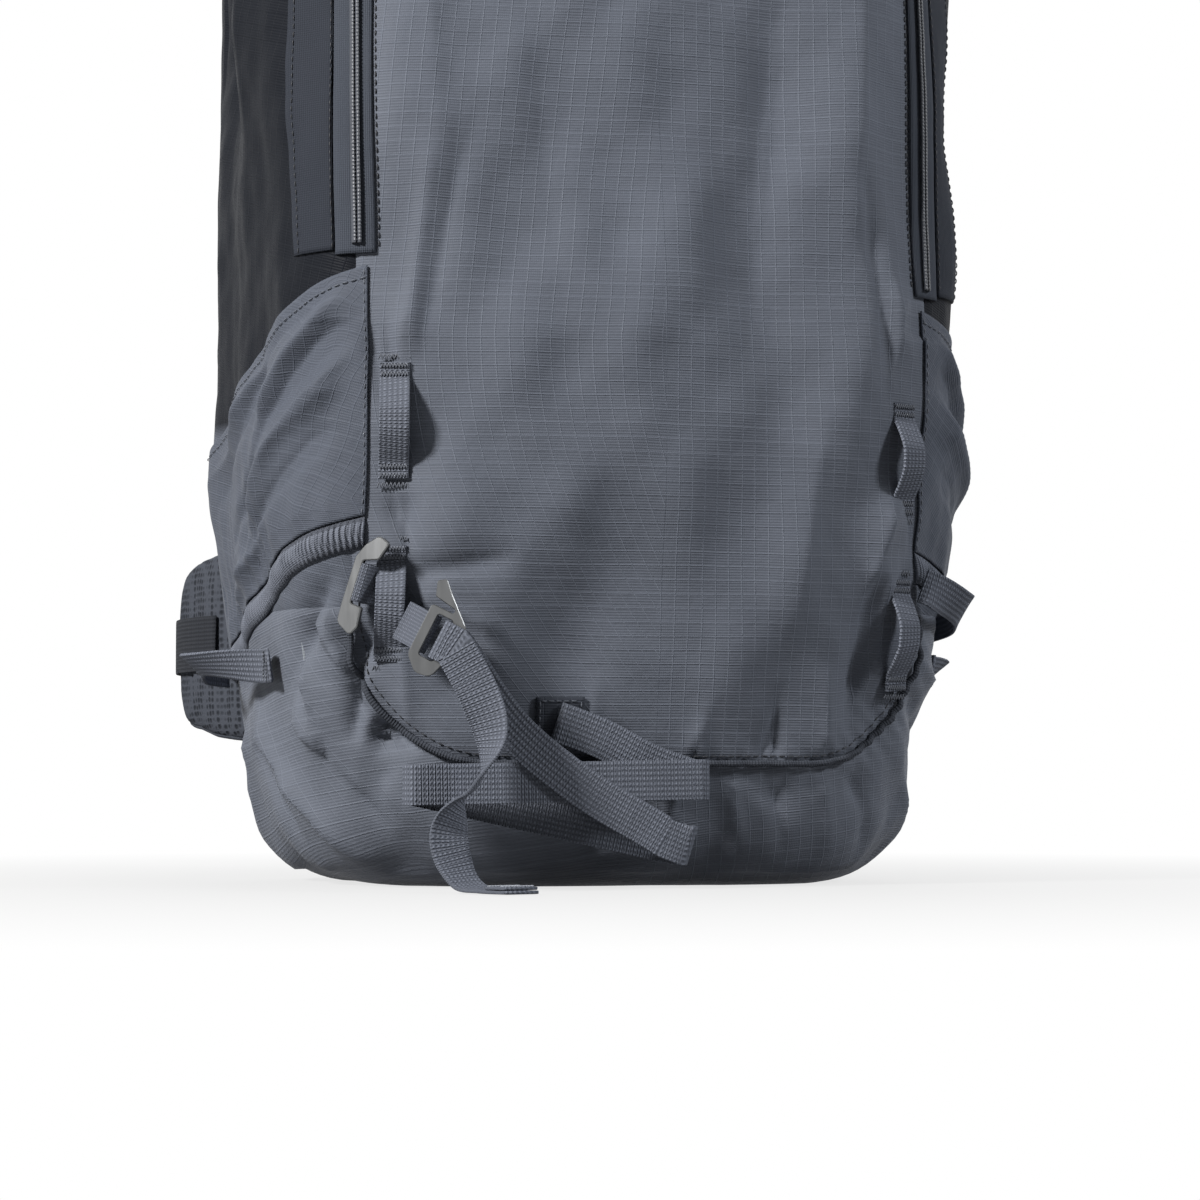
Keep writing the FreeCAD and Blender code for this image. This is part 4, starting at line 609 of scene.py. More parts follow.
# ---------------------------------------------------------------- the arched front zip and what is beside it
def arch(step, left_z, right_z):
    """Points (x, z) and in-plane outward normals along the zip's outline, from lower left to lower right."""
    straight = ZIP_TOP - ZIP_R
    run = [(-ZIP_X, z, -1.0, 0.0) for z in np.arange(left_z, straight, step)]
    bend = np.arange(0, math.pi / 2, step / ZIP_R)
    run += [(-ZIP_X + ZIP_R - ZIP_R * math.cos(a), straight + ZIP_R * math.sin(a), -math.cos(a), math.sin(a))
            for a in bend]
    run += [(x, ZIP_TOP, 0.0, 1.0) for x in np.arange(-ZIP_X + ZIP_R, ZIP_X - ZIP_R, step)]
    run += [(ZIP_X - ZIP_R + ZIP_R * math.sin(a), straight + ZIP_R * math.cos(a), math.sin(a), math.cos(a))
            for a in bend]
    run += [(ZIP_X, z, 1.0, 0.0) for z in np.arange(straight, right_z, -step)]
    return np.array(run)


def arch_points(run, w, off):
    """Surface points beside the arch: w outward in the plane of the outline, off above the bag."""
    w, off = np.broadcast_arrays(np.asarray(w, float), np.asarray(off, float))
    return on_front(run[:, None, 0] + run[:, None, 2] * w, run[:, None, 1] + run[:, None, 3] * w, off)


def make_zip():
    run = arch(2.0, 252, 242)
    w = np.array([-7, -6.6, -5, -3.2, -1.9, 0, 1.9, 3.2, 5, 6.6, 7.0])
    top = np.array([0.7, 1.3, 1.5, 1.4, 1.5, 1.2, 1.5, 1.4, 1.5, 1.3, 0.7])
    slab("zip_tape_cloth", arch_points(run, w[::-1], top), arch_points(run, w[::-1], 0.3 + 0 * w), "tape",
         replaces=["zip_tape"], slot="zip_tape")
    run = arch(0.4, 256, 246)
    s = np.arange(len(run)) * 0.4
    ridge = (0.5 + 0.5 * np.sin(2 * math.pi * s / 1.5))[:, None]
    lips = []
    for sign in (-1, 1):
        w = sign * np.array([0.12, 0.3, 0.8, 1.35, 1.7, 1.8])
        shape = np.array([2.6, 3.35, 3.5, 3.35, 2.7, 1.9])
        high = shape - ridge * np.array([0.3, 0.4, 0.35, 0.4, 0.4, 0])
        w = w if sign < 0 else w[::-1]
        high = high if sign < 0 else high[:, ::-1]
        lips.append((arch_points(run, w, high), arch_points(run, w, 1.75 + 0 * w)))
    slab("zip_coil_lip_out", *lips[0], "coil", replaces=["zip_coil"], slot="zip_coil")
    slab("zip_coil_lip_in", *lips[1], "coil", slot="zip_coil")
    run = arch(2.0, 254, 244)
    w = np.array([21.6, 21.2, 19, 16, 12, 9, 7.6, 7.3])
    high = np.array([0.2, 1.1, 1.3, 1.25, 1.25, 1.3, 1.2, 0.2])
    slab("zip_garage_strip", arch_points(run, w, high), arch_points(run, w, 0.05 + 0 * w), "strip",
         slot="shell_cloth")
    lines = []
    for w, high in ((20.4, 1.25), (8.2, 1.3), (-8.4, 0.25)):
        path = arch_points(run, [w], [high])[:, 0]
        lines += stitch_runs(path, outward(path), 2.4, 1.0)
    tubes("zip_stitching", lines, 0.27, "thread_dark", 5)


def make_piping():
    """The corded seam along the front panel's foot and round its lower corners."""
    corner = PANEL_FOOT + PANEL_R
    run = [(-ZIP_X, z) for z in np.arange(112, corner, -1.5)]
    run += [(-ZIP_X + PANEL_R - PANEL_R * math.cos(a), corner - PANEL_R * math.sin(a))
            for a in np.arange(0, math.pi / 2, 0.03)]
    run += [(x, PANEL_FOOT) for x in np.arange(-ZIP_X + PANEL_R, ZIP_X - PANEL_R, 1.5)]
    run += [(ZIP_X - PANEL_R + PANEL_R * math.sin(a), corner - PANEL_R * math.cos(a))
            for a in np.arange(0, math.pi / 2, 0.03)]
    run = np.array(run + [(ZIP_X, z) for z in np.arange(corner, 112, 1.5)])
    core = on_front(run[:, 0], run[:, 1], 1.5)
    tubes("piping_cord", [core], 1.35, "binding", 12, replaces=["seam_piping"], slot="shell_cloth")
    path = on_front(run[:, 0] * 0.975, run[:, 1] + 3.0, 0.15)
    tubes("piping_stitches", stitch_runs(path, outward(path), 2.6, 1.2), 0.25, "thread_dark", 5)


# ---------------------------------------------------------------- side wings with gathered hems
WING_TOP = np.array([(-125, 256), (-110, 249), (-95, 244), (-20, 214), (80, 172)], float)
WING_FOOT = np.array([(-125, 137), (-110, 137), (-95, 133), (-20, 108), (80, 78)], float)
WING_FOLDS = [(0.02, 0.95, 0.55, 0.35, 0.05, 3.0), (0.03, 0.8, 0.7, 0.22, 0.045, -2.6),
              (0.02, 0.6, 0.6, 0.08, 0.05, 2.8), (0.05, 0.4, 0.5, 0.02, 0.04, -2.2),
              (0.04, 0.98, 0.85, 0.6, 0.05, -2.4), (0.1, 0.9, 0.95, 0.78, 0.045, 2.0),
              (0.25, 0.2, 0.75, 0.05, 0.04, 2.0), (0.02, 0.7, 0.28, 0.3, 0.03, 2.2)]


def wing_net(rows, cols, sign, low, high, off, hem=False):
    """Points over a wing: rows from its foot to its head, columns from the front seam back."""
    t = (np.linspace(0, 1, cols) ** 1.25)[None, :]
    v = np.linspace(low, high, rows)[:, None]
    lift = LIFT if sign < 0 else -LIFT
    z = np.full((rows, cols), 180.0)
    for _ in range(6):
        edge = front_y(116.5, z, 0.0)
        y = edge + (80 - edge) * t
        foot = np.interp(y, WING_FOOT[:, 0], WING_FOOT[:, 1]) + lift
        head = np.interp(y, WING_TOP[:, 0], WING_TOP[:, 1]) + lift
        z = foot + v if hem else foot + 12.3 + (head - foot - 12.3) * v
    flat = np.stack([sign * side_x(y, z), y, z], 2)
    n = outward(flat.reshape(-1, 3)).reshape(flat.shape)
    body = np.sin(np.pi * np.clip(t, 0, 1)) ** 0.6
    if hem:
        extra = off + 0 * t + 0 * v
    else:
        puff = 3.2 * body * np.sin(np.pi * np.clip(v * 0.8 + 0.12, 0, 1))
        gather = 1.3 * np.exp(-v / 0.2) * np.sin(t * 95 + 3 * np.sin(t * 17)) * body
        extra = off + puff + gather + 0.35 * ripple(flat.reshape(-1, 3), 21, 31).reshape(z.shape)
        for t0, v0, t1, v1, width, height in WING_FOLDS:
            way = np.array([t1 - t0, v1 - v0])
            length = np.hypot(*way)
            way = way / length
            run = (t - t0) * way[0] + (v - v0) * way[1]
            away = (t - t0) * -way[1] + (v - v0) * way[0] + 0.02 * np.sin(run * 14)
            ends = np.clip(run / 0.08, 0, 1) * np.clip((length - run) / (0.5 * length), 0, 1)
            extra = extra + WING_FOLD_SCALE * height * np.exp(-(np.abs(away) / width) ** 1.6) * ends
        rim = np.minimum(np.minimum(t, 1 - t) * 14, np.minimum((1 - v) * 9, v * 11 + 0.15))
        extra = off + (extra - off) * np.clip(rim, 0.0, 1)
        extra = np.maximum(extra, off * 0.9)
    base = relief(flat.reshape(-1, 3)).reshape(z.shape)
    return flat + n * (extra + base)[:, :, None], n


def make_wings():
    for sign, side in ((-1, "left"), (1, "right")):
        top, n = wing_net(80, 190, sign, 0.0, 1.0, 1.5)
        low = top - n * 0.9
        order = slice(None, None, -1) if sign < 0 else slice(None)
        cloth = slab("wing_cloth_" + side, top[:, order], low[:, order], "wing", replaces=["wing_" + side],
                     slot="wing_cloth")
        ribs, n = wing_net(7, 700, sign, 0.0, 12.0, 0.0, True)
        s = run_length(ribs, 1)[3]
        comb = 0.5 + 0.5 * np.sin(2 * math.pi * s / 2.7)
        shape = np.array([0.6, 2.3, 2.9, 3.1, 2.9, 2.4, 0.7])[:, None]
        outer = ribs + n * (shape - 0.95 * comb[None, :] * (shape > 1))[:, :, None]
        inner = ribs + n * 0.3
        hem = slab("wing_hem_band_" + side, outer[:, order], inner[:, order], "elastic",
                   replaces=["wing_hem_" + side], slot="elastic")
        edge, n = wing_net(3, 190, sign, 0.93, 0.97, 1.9)
        lines = stitch_runs(edge[1], n[1], 2.6, 1.2)
        seam = top[:, 2]
        lines += stitch_runs(seam, np.repeat(n[1:2, 2], len(seam), 0), 2.6, 1.2)
        tubes("wing_stitching_" + side, lines, 0.26, "thread", 5)


# ---------------------------------------------------------------- gear loops, haul loop
def front_out(x, z):
    p = np.array([[x, float(front_y(x, z)), z]])
    return outward(p)[0]


def make_gear_loops():
    tacks, pale = [], []
    for name, x, z in (("upper_left", -107.0, 185.0), ("upper_right", 107.0, 175.0),
                       ("lower_left", -107.0, 113.0), ("lower_right", 107.0, 103.0)):
        def at(dz, off):
            out = unit(front_out(x, z + dz) + np.array([0, -1.0, 0]))
            return np.array([x, float(front_y(x, z + dz)), z + dz]) + out * off
        flat = GAP + WEB / 2 + 0.45
        rise = [(23, flat), (17, flat), (11, 5.6), (5, 9.0)]
        points = [at(-dz, off) for dz, off in rise] + [at(0, 9.6)] + [at(dz, off) for dz, off in rise[::-1]]
        n = front_out(x, z)
        across = np.array([-n[1], n[0], 0.0])
        strap("loop_web_" + name, points, tuple(across), 12.0, replaces=["gear_loop_" + name],
              steps=8)
        for dz in (-21.6, -18.2, 18.2, 21.6):
            out = front_out(x, z + dz)
            tacks.append(zigzag(at(dz, flat + 0.7), across, np.cross(out, across), out, 11.0, 1.8, 9, 0.15))
        for dz in (-25.4, 25.4):
            out = front_out(x, z + dz)
            spot = np.array([x, float(front_y(x, z + dz)), z + dz]) + out * 0.45
            pale.append(zigzag(spot, across, np.cross(out, across), out, 13.0, 2.2, 8, 0.1))
    tubes("loop_bartacks", tacks, 0.3, "thread", 5)
    tubes("loop_box_stitches", pale, 0.28, "thread", 5)


def make_haul_loop():
    def back(z):
        return float(plan_at(z)[2]) + GAP + WEB / 2 + 0.6
    y = back(556)
    points = [(-27, back(534), 534), (-27, back(545), 545), (-27, y + 0.3, 556), (-24, y + 3, 580.2),
              (-13.5, y + 6, 596.48), (0, y + 7, 600)]
    points += [(-a, b, c) for a, b, c in points[-2::-1]]
    flat = (1.0, 0.0, 0.0)
    across = [flat, flat, flat, (0.5, 0.8, 0.1), (0.1, 1.0, 0.12), (0.0, 1.0, 0.12)]
    across += [(-a, b, c) for a, b, c in across[-2::-1]]
    strap("haul_loop_web", points, across, 20.0, replaces=["haul_loop"], steps=8)
    tacks = [zigzag((x, back(z) + 0.75, z), (1, 0, 0), (0, 0, 1), (0, 1, 0), 17, 2.2, 11, 0.2)
             for x in (-27, 27) for z in (536, 541)]
    tubes("haul_loop_bartacks", tacks, 0.32, "thread", 5)


# ---------------------------------------------------------------- ski strap and the webbing of its hooks
def lean_frame(out, lean):
    out = unit(out)
    right = unit([-out[1], out[0], 0])
    up = -np.cross(out, right)
    up = -up if up[2] < 0 else up
    a = math.radians(lean)
    return right * math.cos(a) - up * math.sin(a), right * math.sin(a) + up * math.cos(a), out


def bar_loop(name, bar, axis, lead, length, width, node, radius=2.7, mat="fine_web"):
    bar, axis, lead = np.asarray(bar, float), unit(axis), np.asarray(lead, float)
    lead = unit(lead - axis * (lead @ axis))
    side = np.cross(axis, lead)
    middle, close = radius + WEB / 2, WEB / 2 + 0.2
    knee = min(radius + 5, 0.8 * length)
    line = [bar + lead * length + side * close, bar + lead * knee + side * close]
    line += [bar + middle * (side * math.cos(a) - lead * math.sin(a)) for a in np.linspace(0, math.pi, 13)]
    line += [bar + lead * knee - side * close, bar + lead * length - side * close]
    return sweep(name, np.array(line), axis, width, WEB, mat, replaces=[node] if node else [], slot="webbing")


TOGGLE = np.array([-122.2, -92.4, 121.7])
BUCKLE = np.array([-94.5, -115.5, 98.6])
SKI_WEB = 16    # width of the ski strap


def make_ski_strap():
    across, along, out = lean_frame((-0.67, -0.74, 0.05), 18)
    bar_loop("hook_web", TOGGLE + across * 2.0 - out * 2.4, along, (0.86, 0.36, -0.25), 7.4, 15.4,
             "hook_webbing", 2.0)
    across, along, out = lean_frame((-0.35, -0.935, 0.0), 27)
    bar_loop("buckle_web", BUCKLE - across * 5.0 - out * 2.6, along, (-0.46, 0.8, 0.38), 13.5, SKI_WEB,
             "buckle_webbing", 2.0)
    near, over, back = -112.5, -114.3, -101.5
    up = (0.0, 0.0, 1.0)

    def edge(right, z):
        return (15.4 if right else -101.8) + 0.285 * (z - 42)
    right_x, left_x, low_x = edge(True, 43.5) - 1, edge(False, 41.5) + 1, edge(True, 17.4) - 1

    def run(points, ways, steps=5):
        return smooth_points(points, steps)[:-1], smooth_points(ways, steps)[:-1]

    def turn(x, z, right, front, way, flip):
        a = np.linspace(0, math.pi, 10)
        middle, r = (front + back) / 2, (back - front) / 2
        reach = 4 * np.sin(a) * (1 if right else -1)
        line = np.stack([x + reach, middle - r * np.cos(a), np.full(10, z)], 1)
        return (line[::-1] if flip else line), np.broadcast_to(np.array(way, float), (10, 3))
    lift = 1.2 + WEB / 2 + 0.6
    behind = BUCKLE + across * 8.7 - out * (lift + 0.3)
    parts = [run([(-42, back - 0.6, 66.5), (-24, back - 0.3, 60), (-4, back, 50), (right_x, back, 43.5)],
                 [(0.35, 0, 0.94), (0.42, 0, 0.9), (0.4, 0, 0.92), up]),
             turn(right_x, 43.5, True, near, up, True), turn(left_x, 41.5, False, near, up, False),
             turn(low_x, 17.4, True, over, (0.3, 0, 0.95), True),
             run([(low_x - 8, over, 20.5), (-9, over, 25.5), (-27, over, 35.5), (-42, over, 45.6),
                  (-57, over + 0.8, 57.5), (-69, near - 0.4, 70.5), behind],
                 [(0.45, 0, 0.89), (0.5, 0, 0.87), (0.52, 0, 0.85), (0.58, 0, 0.8), (0.66, 0, 0.75),
                  (0.62, 0, 0.78), along])]
    a = np.linspace(0, math.pi, 13)[:, None]
    fold = BUCKLE + across * (2.7 - 1.6 * np.sin(a)) - out * (lift * np.cos(a))
    fold = np.concatenate([behind[None], fold])
    half = len(fold) // 2 + 1
    parts.append((fold[:half], np.broadcast_to(along, (half, 3))))
    line, ways = (np.concatenate([p[i] for p in parts]) for i in (0, 1))
    sweep("ski_loop_web", line, ways, SKI_WEB, WEB, "web", replaces=["ski_loop_webbing"], slot="webbing")
    points = [BUCKLE + across * 8.2 + out * lift, (-79.5, -123.5, 77), (-75, -126, 60), (-79, -127, 45),
              (-87.5, -126.5, 34.5), (-92, -126.5, 22), (-89.5, -128.5, 9.5), (-85.5, -135, 2.4),
              (-79.5, -147, 1.1), (-73, -164, 1.1)]
    ways = [along, (0.75, -0.2, 0.6), (0.55, -0.75, 0.35), (-0.1, -0.95, 0.3), (-0.65, -0.55, -0.5),
            (-0.97, -0.2, -0.1), (-0.95, -0.2, 0.2), (-0.93, -0.36, 0), (-0.93, -0.36, 0), (-0.93, -0.36, 0)]
    tail = smooth_points(points, 8)
    wide = smooth_points(ways, 8)
    rest = fold[half - 1:].copy()
    rest[0] += (rest[1] - rest[0]) * 0.4
    line = np.concatenate([rest, tail])
    ways = np.concatenate([np.broadcast_to(along, (len(rest), 3)), wide])
    sweep("ski_tail_web", line, ways, SKI_WEB, WEB, "web", replaces=["ski_strap_tail"], slot="webbing")
    end, before = tail[-1], tail[-6]
    way = unit(end - before)
    side = unit(np.cross(way, (0, 0, 1)))
    hem = [end - way * 13 + (0, 0, 1.55), end - way * 6 + (0, 0, 1.6), end - way * 0.5 + (0, 0, 1.5)]
    sweep("ski_tail_hem", smooth_points(hem, 5), side, 15.6, 1.3, "web", slot="webbing")
    tacks = [zigzag(end - way * d + np.array([0, 0, 2.25]), side, way, (0, 0, 1), 14.5, 2.0, 11, 0.1)
             for d in (2.4, 11.2)]
    tubes("ski_tail_stitches", tacks, 0.28, "thread_pale", 5)
    x, z = np.meshgrid(np.linspace(-30, -50, 12), np.linspace(58, 76, 10))
    slab("ski_anchor_patch", on_front(x, z, 1.4), on_front(x, z, 0.35), "back", replaces=["ski_strap_anchor"],
         slot="dark_cloth")
    box = [on_front(px, pz, 1.55) for px, pz in (
        (np.linspace(-31.5, -48.5, 12), np.full(12, 59.5)), (np.full(12, -48.5), np.linspace(59.5, 74.5, 12)),
        (np.linspace(-48.5, -31.5, 12), np.full(12, 74.5)),
        (np.full(12, -31.5), np.linspace(74.5, 59.5, 12)))]
    lines = [s for b in box for s in stitch_runs(b, outward(b), 2.2, 0.9)]
    tubes("ski_anchor_stitches", lines, 0.27, "thread", 5)


def make_side_straps():
    x = 115.5
    start = np.array([x, float(front_y(x, 124)), 124]) + front_out(x, 124) * 4.8
    points = [start, (124.5, -89.5, 121), (138, -78, 116.5), (149, -58, 114.5), (154, -30, 112.5),
              (153, 0, 110), (151, 28, 108)]
    ways = [(0.25, 0.1, 0.96), (0.6, 0.2, 0.75), (0.75, -0.1, 0.6), (0.5, -0.1, 0.85), (0.1, 0, 1), (0, 0, 1),
            (0, 0, 1)]
    strap("side_web_right", points, ways, 15, replaces=["side_strap_right"], steps=8)
    z = 90.0
    foot, head = float(side_x(-34, z)), float(side_x(70, z))
    points = np.array([(foot + 5, -34, z), (foot + 5.6, -20, z), (foot + 18, -2, z + 1),
                       (foot + 27, 20, z + 1.5), (foot + 20, 44, z + 1), (head + 8.6, 56, z),
                       (head + 5.6, 65, z), (head + 5.2, 73, z)])
    up = (0.15, 0, 0.99)
    ways = np.array([up, up, (0.5, -0.3, 0.8), (0.75, -0.3, 0.6), (0.5, -0.3, 0.8), up, up, up])
    for sign, side, nodes in ((1, "right", ["compression_straps"]), (-1, "left", [])):
        m = np.array([float(sign), 1.0, 1.0])
        sweep("compression_web_" + side, smooth_points(points * m, 8), smooth_points(ways * m, 8), 14, WEB,
              "web", replaces=nodes, slot="webbing")
    tacks = [zigzag((s * (px + 0.75), y, z), (0, 0, 1), (0, 1, 0), (s, 0, 0), 12, 2.0, 8, 0.15)
             for s in (-1, 1) for px, y in ((foot + 5.0, -31), (foot + 5.2, -26), (head + 5.5, 70))]
    tacks += [zigzag((151.9, y, 108.2), (0, 0, 1), (0, 1, 0), (1, 0, 0), 13, 2.0, 9, 0.1) for y in (20, 25)]
    tubes("side_strap_bartacks", tacks, 0.3, "thread", 5)


# ---------------------------------------------------------------- harness
PAD_SIDES = 48    # points round a pad's section


def soft_pad(name, node, line, across, width, thickness, channels, body="pack", reach=3.2, round_ends=16.0):
    """A crowned pad with sewn channels and a bound edge, along a dense line."""
    line = np.asarray(line, float)
    s = np.concatenate([[0], np.cumsum(np.linalg.norm(np.diff(line, axis=0), axis=1))])
    dips = sum((np.exp(-((s - c * s[-1]) / reach) ** 2) for c in channels), np.zeros(len(s)))
    width = np.broadcast_to(width, (len(line),)) - 2.4
    puff = 1 + 0.02 * np.sin(s * 0.31 + 1) - 0.30 * np.clip(dips, 0, 1)
    pad = sweep(name, line, across, width, thickness * puff, "mesh", 3.4, PAD_SIDES, round_ends, body=body,
                replaces=[node], slot="pad_mesh")
    mesh = pad.data
    co = np.zeros(len(mesh.vertices) * 3)
    mesh.vertices.foreach_get("co", co)
    co = co.reshape(-1, 3)
    n = np.zeros(len(mesh.vertices) * 3)
    mesh.vertices.foreach_get("normal", n)
    rough = ripple(co * 1000, 26, 41) * 0.45 + ripple(co * 1000, 11, 43) * 0.14
    co += n.reshape(-1, 3) * rough[:, None] / 1000
    mesh.vertices.foreach_set("co", co.ravel())
    rings = co.reshape(len(line), PAD_SIDES, 3) * 1000
    loop = np.concatenate([rings[:, 0], rings[::-1, PAD_SIDES // 2]])
    loop = np.concatenate([loop, loop[:1]])
    edge = tubes(name + "_binding", [loop], 1.15, "binding", 8, body=body, slot="webbing")
    return pad, edge


def make_back_pads():
    for sign, side in ((-1, "left"), (1, "right")):
        z = np.linspace(158.3, 447.7, 150)
        line = np.stack([np.full(150, sign * 60.0), np.full(150, 102.5), z], 1)
        soft_pad("back_cushion_" + side, "back_pad_" + side, line, (1, 0, 0), 68, 13.6,
                 (0.17, 0.34, 0.5, 0.66, 0.83))
    x = np.linspace(-105.3, 105.3, 120)
    line = np.stack([x, np.full(120, 103.5), np.full(120, 103.0)], 1)
    soft_pad("lumbar_cushion", "lumbar_pad", line, (0, 0, 1), 90, 15.6, (0.28, 0.5, 0.72))


SHOULDER = np.array([(56, 103.2, 462), (56, 107, 486), (58, 124, 506), (62, 150, 507), (67, 174, 491),
                     (71, 186, 467), (72, 189, 446), (72, 189, 410), (72, 189, 376), (72.6, 188.4, 352),
                     (76, 182, 325), (84, 170, 295), (91, 155, 270)])
BELT = np.array([(110.5, 104.6), (121, 114), (131, 131), (137, 155), (138, 185), (131, 217), (116, 244)])


def make_harness():
    widths = smooth_points([[w] for w in [50, 54, 58] + [60] * 7 + [56, 48, 36]], 12)[:, 0]
    heights = smooth_points([[w] for w in (90, 90, 86, 80, 72, 62, 52)], 14)[:, 0]
    end, before = SHOULDER[-1], SHOULDER[-2]
    along = unit(end - before)
    wide = unit(np.array([1.0, 0, 0]) - along * along[0])
    out = np.cross(wide, along)
    at = end + along * 17
    low = at + along * 9.5
    back = float(plan_at(172.0)[2])
    x = 131.0
    y = back * (1 - (x / HALF_WIDTH) ** BACK_POWER) ** (1 / BACK_POWER) + GAP + WEB / 2
    lower = [at + along * 1.2 - out * 2.7, low - out * 2.9, low + along * 14 - out * 3.2, (113, 122, 212),
             (124, 107, 188), (x - 1, y + 2.6, 172), (x, y + 0.4, 160), (x, y + 0.1, 150)]
    lower_ways = [wide] * 3 + [(0.92, 0.3, 0.25), (0.92, 0.2, 0.3), (0.93, -0.33, 0.1), (0.92, -0.38, 0),
                               (0.92, -0.38, 0)]
    start = np.array([58.0, float(plan_at(552.0)[2]) + 1.6, 553.0])
    finish = np.array([64.5, 172.0, 505.6])
    foot = np.array([58.0, float(plan_at(536.0)[2]) + 1.6, 536.0])
    way = unit(finish - start)
    lift_wide = unit(np.array([1.0, 0, 0]) - way * way[0])
    lifter = [foot, (foot + start) / 2 + (0, 0.5, 0), start, start + way * 12, start + way * 45,
              finish - way * 8]
    outer = []
    for i in range(2, len(BELT)):
        a, b = BELT[i - 1], BELT[min(i + 1, len(BELT) - 1)]
        t = unit(b - a)
        outer.append((BELT[i][0] + t[1] * 8.1, BELT[i][1] - t[0] * 8.1, 105.0))
    free = [(111, 268, 105), (93, 285, 105), (74, 291, 105), (62, 292.5, 105)]
    face = 189 + 6.5 + GAP + 0.2
    yw = face + 7.6 + GAP + WEB / 2
    chest = [(57, yw, 408), (44, yw, 408), (34, yw + 1.2, 408), (24.7, yw + 1.2, 408)]
    tacks = []
    for sign, side in ((-1, "left"), (1, "right")):
        m = np.array([float(sign), 1.0, 1.0])
        soft_pad("shoulder_pad_" + side, "shoulder_strap_" + side, smooth_points(SHOULDER * m, 12), (1, 0, 0),
                 widths, 12.6, (0.12, 0.24, 0.36, 0.64, 0.78, 0.9), round_ends=7)
        line = smooth_points(np.column_stack([BELT, np.full(len(BELT), 105.0)]) * m, 14)
        soft_pad("hip_pad_" + side, "hip_wing_" + side, line, (0, 0, 1), heights, 13.6,
                 (0.2, 0.42, 0.64, 0.86), "hip_wing_" + side, round_ends=9)
        strap("lower_web_" + side, np.array(lower) * m, np.array(lower_ways) * m, 20, "black_web",
              replaces=["lower_webbing_" + side])
        strap("lifter_web_" + side, np.array(lifter) * m, lift_wide * m, 15, "black_web",
              replaces=["load_lifters"] if sign < 0 else [])
        bar_loop("adjuster_tab_web_" + side, (at - along * 9.5) * m, wide * m, -along * m, 7.0, 20,
                 "adjuster_tabs" if sign < 0 else None, 2.3, "black_web")
        strap("belt_web_" + side, np.array(outer + free) * m, (0, 0, 1), 25, "black_web",
              body="hip_wing_" + side, replaces=["belt_webbing_" + side])
        strap("sternum_web_" + side, np.array(chest) * m, (0, 0, 1), 15, "black_web", body="sternum_strap",
              replaces=["sternum_webbing"] if sign < 0 else [])
        tacks += [zigzag(np.array((x, y + 0.95, z)) * m, (0.92, -0.38 * sign, 0), (0, 0, 1),
                         (0.38 * sign, 0.92, 0), 17, 2.2, 10, 0.2) for z in (153, 158)]
        tacks += [zigzag((foot + (0, 0.8, 0.5)) * m, (1, 0, 0), (0, 0, 1), (0, 1, 0), 13, 2.2, 9, 0.2)]
    tubes("harness_bartacks", tacks, 0.32, "thread", 5)


# ---------------------------------------------------------------- lid zip, inside sheets and hardware
def make_top_zip():
    x = np.linspace(-66, 66, 80)
    w = np.array([-7, -6.5, -3, -1.9, 0, 1.9, 3, 6.5, 7.0])
    high = np.array([0.6, 1.3, 1.45, 1.5, 1.2, 1.5, 1.45, 1.3, 0.6])
    gx, gw = np.meshgrid(x, 16 + w, indexing="ij")
    top = np.stack([gx, gw, 580 + np.broadcast_to(high, gx.shape)], 2)
    low = np.stack([gx, gw, np.full(gx.shape, 580.35)], 2)
    slab("top_tape_cloth", top, low, "tape", replaces=["top_zip_tape"], slot="zip_tape")
    x = np.arange(-62, 62, 0.4)
    for i, sign in enumerate((-1, 1)):
        w = np.array([0.12, 0.4, 1.0, 1.6, 1.8]) * sign
        w = w if sign > 0 else w[::-1]
        shape = np.array([2.6, 3.4, 3.5, 3.2, 1.9])
        shape = shape if sign > 0 else shape[::-1]
        gx, gw = np.meshgrid(x, 16 + w, indexing="ij")
        comb = 0.35 * (0.5 + 0.5 * np.sin(2 * math.pi * gx / 1.5))
        top = np.stack([gx, gw, 580 + shape - comb], 2)
        low = np.stack([gx, gw, np.full(gx.shape, 581.8)], 2)
        slab("top_coil_lip_%d" % i, top, low, "coil", replaces=["top_zip_coil"] if i == 0 else [],
             slot="zip_coil")


def make_inside():
    z = np.linspace(31, 539, 90)
    cols = np.linspace(-1, 1, 70)
    half = side_x(-48.0, z, -3.6)
    x = half[:, None] * cols[None, :]
    zz = np.broadcast_to(z[:, None], x.shape)
    y = -47.2 + 0.5 * np.sin(x / 31 + zz / 90)
    top = np.stack([x, y - 0.45, zz], 2)
    low = np.stack([x, y + 0.45, zz], 2)
    cloth = slab("divider_cloth", top, low, "lining", replaces=["compartment_divider"], slot="lining")


def dress(mat, *names):
    for name in names:
        NODES[name].data.materials.clear()
        NODES[name].data.materials.append(M[mat])


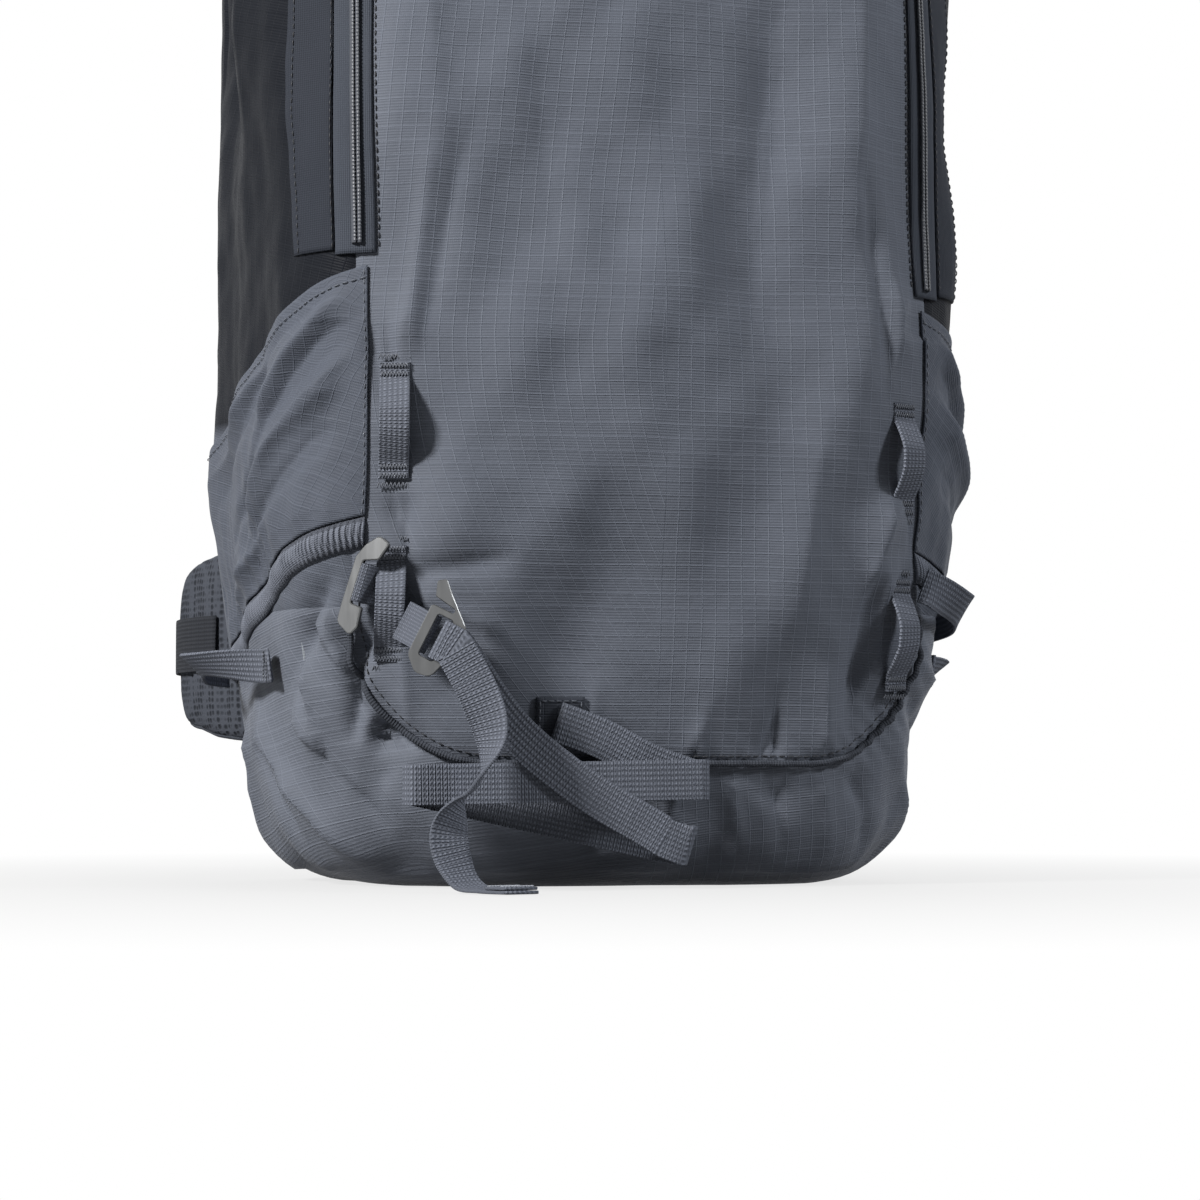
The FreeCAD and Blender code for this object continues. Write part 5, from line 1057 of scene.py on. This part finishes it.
def make_scene():
    scene = bpy.context.scene
    scene.view_settings.view_transform = "Standard"
    cam = bpy.data.objects.new("camera", bpy.data.cameras.new("camera"))
    cam.data.lens, cam.data.sensor_width = 105.15, 36.0
    cam.data.clip_start, cam.data.clip_end = 0.05, 20
    cam.location = (-0.4135, -1.4419, 0.045)
    yaw, pitch = math.radians(-16.2), math.radians(2.87)
    way = Vector((-math.sin(yaw) * math.cos(pitch), math.cos(yaw) * math.cos(pitch), math.sin(pitch)))
    cam.rotation_euler = way.to_track_quat("-Z", "Y").to_euler()
    scene.collection.objects.link(cam)
    scene.camera = cam
    world = bpy.data.worlds.new("studio")
    scene.world = world
    world.use_nodes = True
    tree = world.node_tree
    back = tree.nodes["Background"]
    back.inputs[0].default_value = (0.93, 0.96, 1.0, 1.0)
    back.inputs[1].default_value = 0.07
    white = tree.nodes.new("ShaderNodeBackground")
    white.inputs[0].default_value = (1, 1, 1, 1)
    path = tree.nodes.new("ShaderNodeLightPath")
    shiny, seen = tree.nodes.new("ShaderNodeMath"), tree.nodes.new("ShaderNodeMath")
    shiny.operation = seen.operation = "MAXIMUM"
    mix = tree.nodes.new("ShaderNodeMixShader")
    for source, target in ((path.outputs["Is Camera Ray"], shiny.inputs[0]),
                           (path.outputs["Is Glossy Ray"], shiny.inputs[1]),
                           (shiny.outputs[0], seen.inputs[0]),
                           (path.outputs["Is Transmission Ray"], seen.inputs[1]),
                           (seen.outputs[0], mix.inputs[0]), (back.outputs[0], mix.inputs[1]),
                           (white.outputs[0], mix.inputs[2]),
                           (mix.outputs[0], tree.nodes["World Output"].inputs[0])):
        tree.links.new(source, target)
    for name, at, size, power, warm in (("key", (-1.85, -0.85, 1.35), 0.35, 92, (1, 0.99, 0.97)),
                                        ("fill", (1.9, -1.2, 1.5), 0.4, 42, (0.96, 0.98, 1)),
                                        ("rim", (0.6, 1.9, 1.7), 1.3, 30, (1, 1, 1))):
        lamp = bpy.data.objects.new(name, bpy.data.lights.new(name, "AREA"))
        lamp.data.energy, lamp.data.size, lamp.data.color = power, size, warm
        lamp.location = at
        lamp.rotation_euler = (Vector((0, 0, 0.22)) - Vector(at)).to_track_quat("-Z", "Y").to_euler()
        scene.collection.objects.link(lamp)
    g = Graph("studio_floor", roughness=0.8, specular=0.1)
    soft = g.blend(g.noise(3), (0.22, 0.22, 0.22, 1), (0.25, 0.25, 0.25, 1))
    g.done(soft)
    glow = g.put("Emission")
    glow.inputs[0].default_value, glow.inputs[1].default_value = (1, 1, 1, 1), 1.0
    ray = g.put("LightPath")
    # the floor glows less towards the pack (0.7 white at its centre, full white 0.6 m out), so around the
    # pack it is painted greyer: painted shade, in which the pack's real shadow also shows
    spot = g.put("VectorMath", (g.put("TexCoord").outputs["Object"],), operation="LENGTH")
    far = g.calc("MULTIPLY_ADD", spot.outputs["Value"], 0.5, 0.7, clamp=True)
    mirrored = g.calc("MAXIMUM", ray.outputs["Is Camera Ray"], ray.outputs["Is Glossy Ray"])
    share = g.calc("MULTIPLY", mirrored, far)
    mixed = g.put("MixShader", (share, g.bsdf.outputs[0], glow.outputs[0]))
    g.tree.links.new(mixed.outputs[0], g.tree.nodes["Material Output"].inputs[0])
    mesh = bpy.data.meshes.new("floor")
    mesh.from_pydata([(-6, -6, 0), (6, -6, 0), (6, 6, 0), (-6, 6, 0)], [], [[0, 1, 2, 3]])
    mesh.materials.append(g.mat)
    floor = bpy.data.objects.new("floor", mesh)
    scene.collection.objects.link(floor)


make_scene()
make_bag()
make_zip()
make_piping()
make_wings()
make_gear_loops()
make_haul_loop()
make_ski_strap()
make_side_straps()
make_back_pads()
make_harness()
make_top_zip()
make_inside()
dress("aluminium", "t_bar_hook", "g_hook_buckle")
dress("zip_metal", "zip_slider_left", "zip_slider_right", "top_zip_slider")
dress("plastic", "zip_pull_left", "zip_pull_right", "top_zip_pull", "strap_adjusters", "lifter_adjusters",
      "buckle_female", "buckle_male", "sternum_rails", "sternum_sliders", "sternum_buckle_female",
      "sternum_buckle_male")
dress("sheet", "frame_sheet")
dress("stay", "frame_stays")
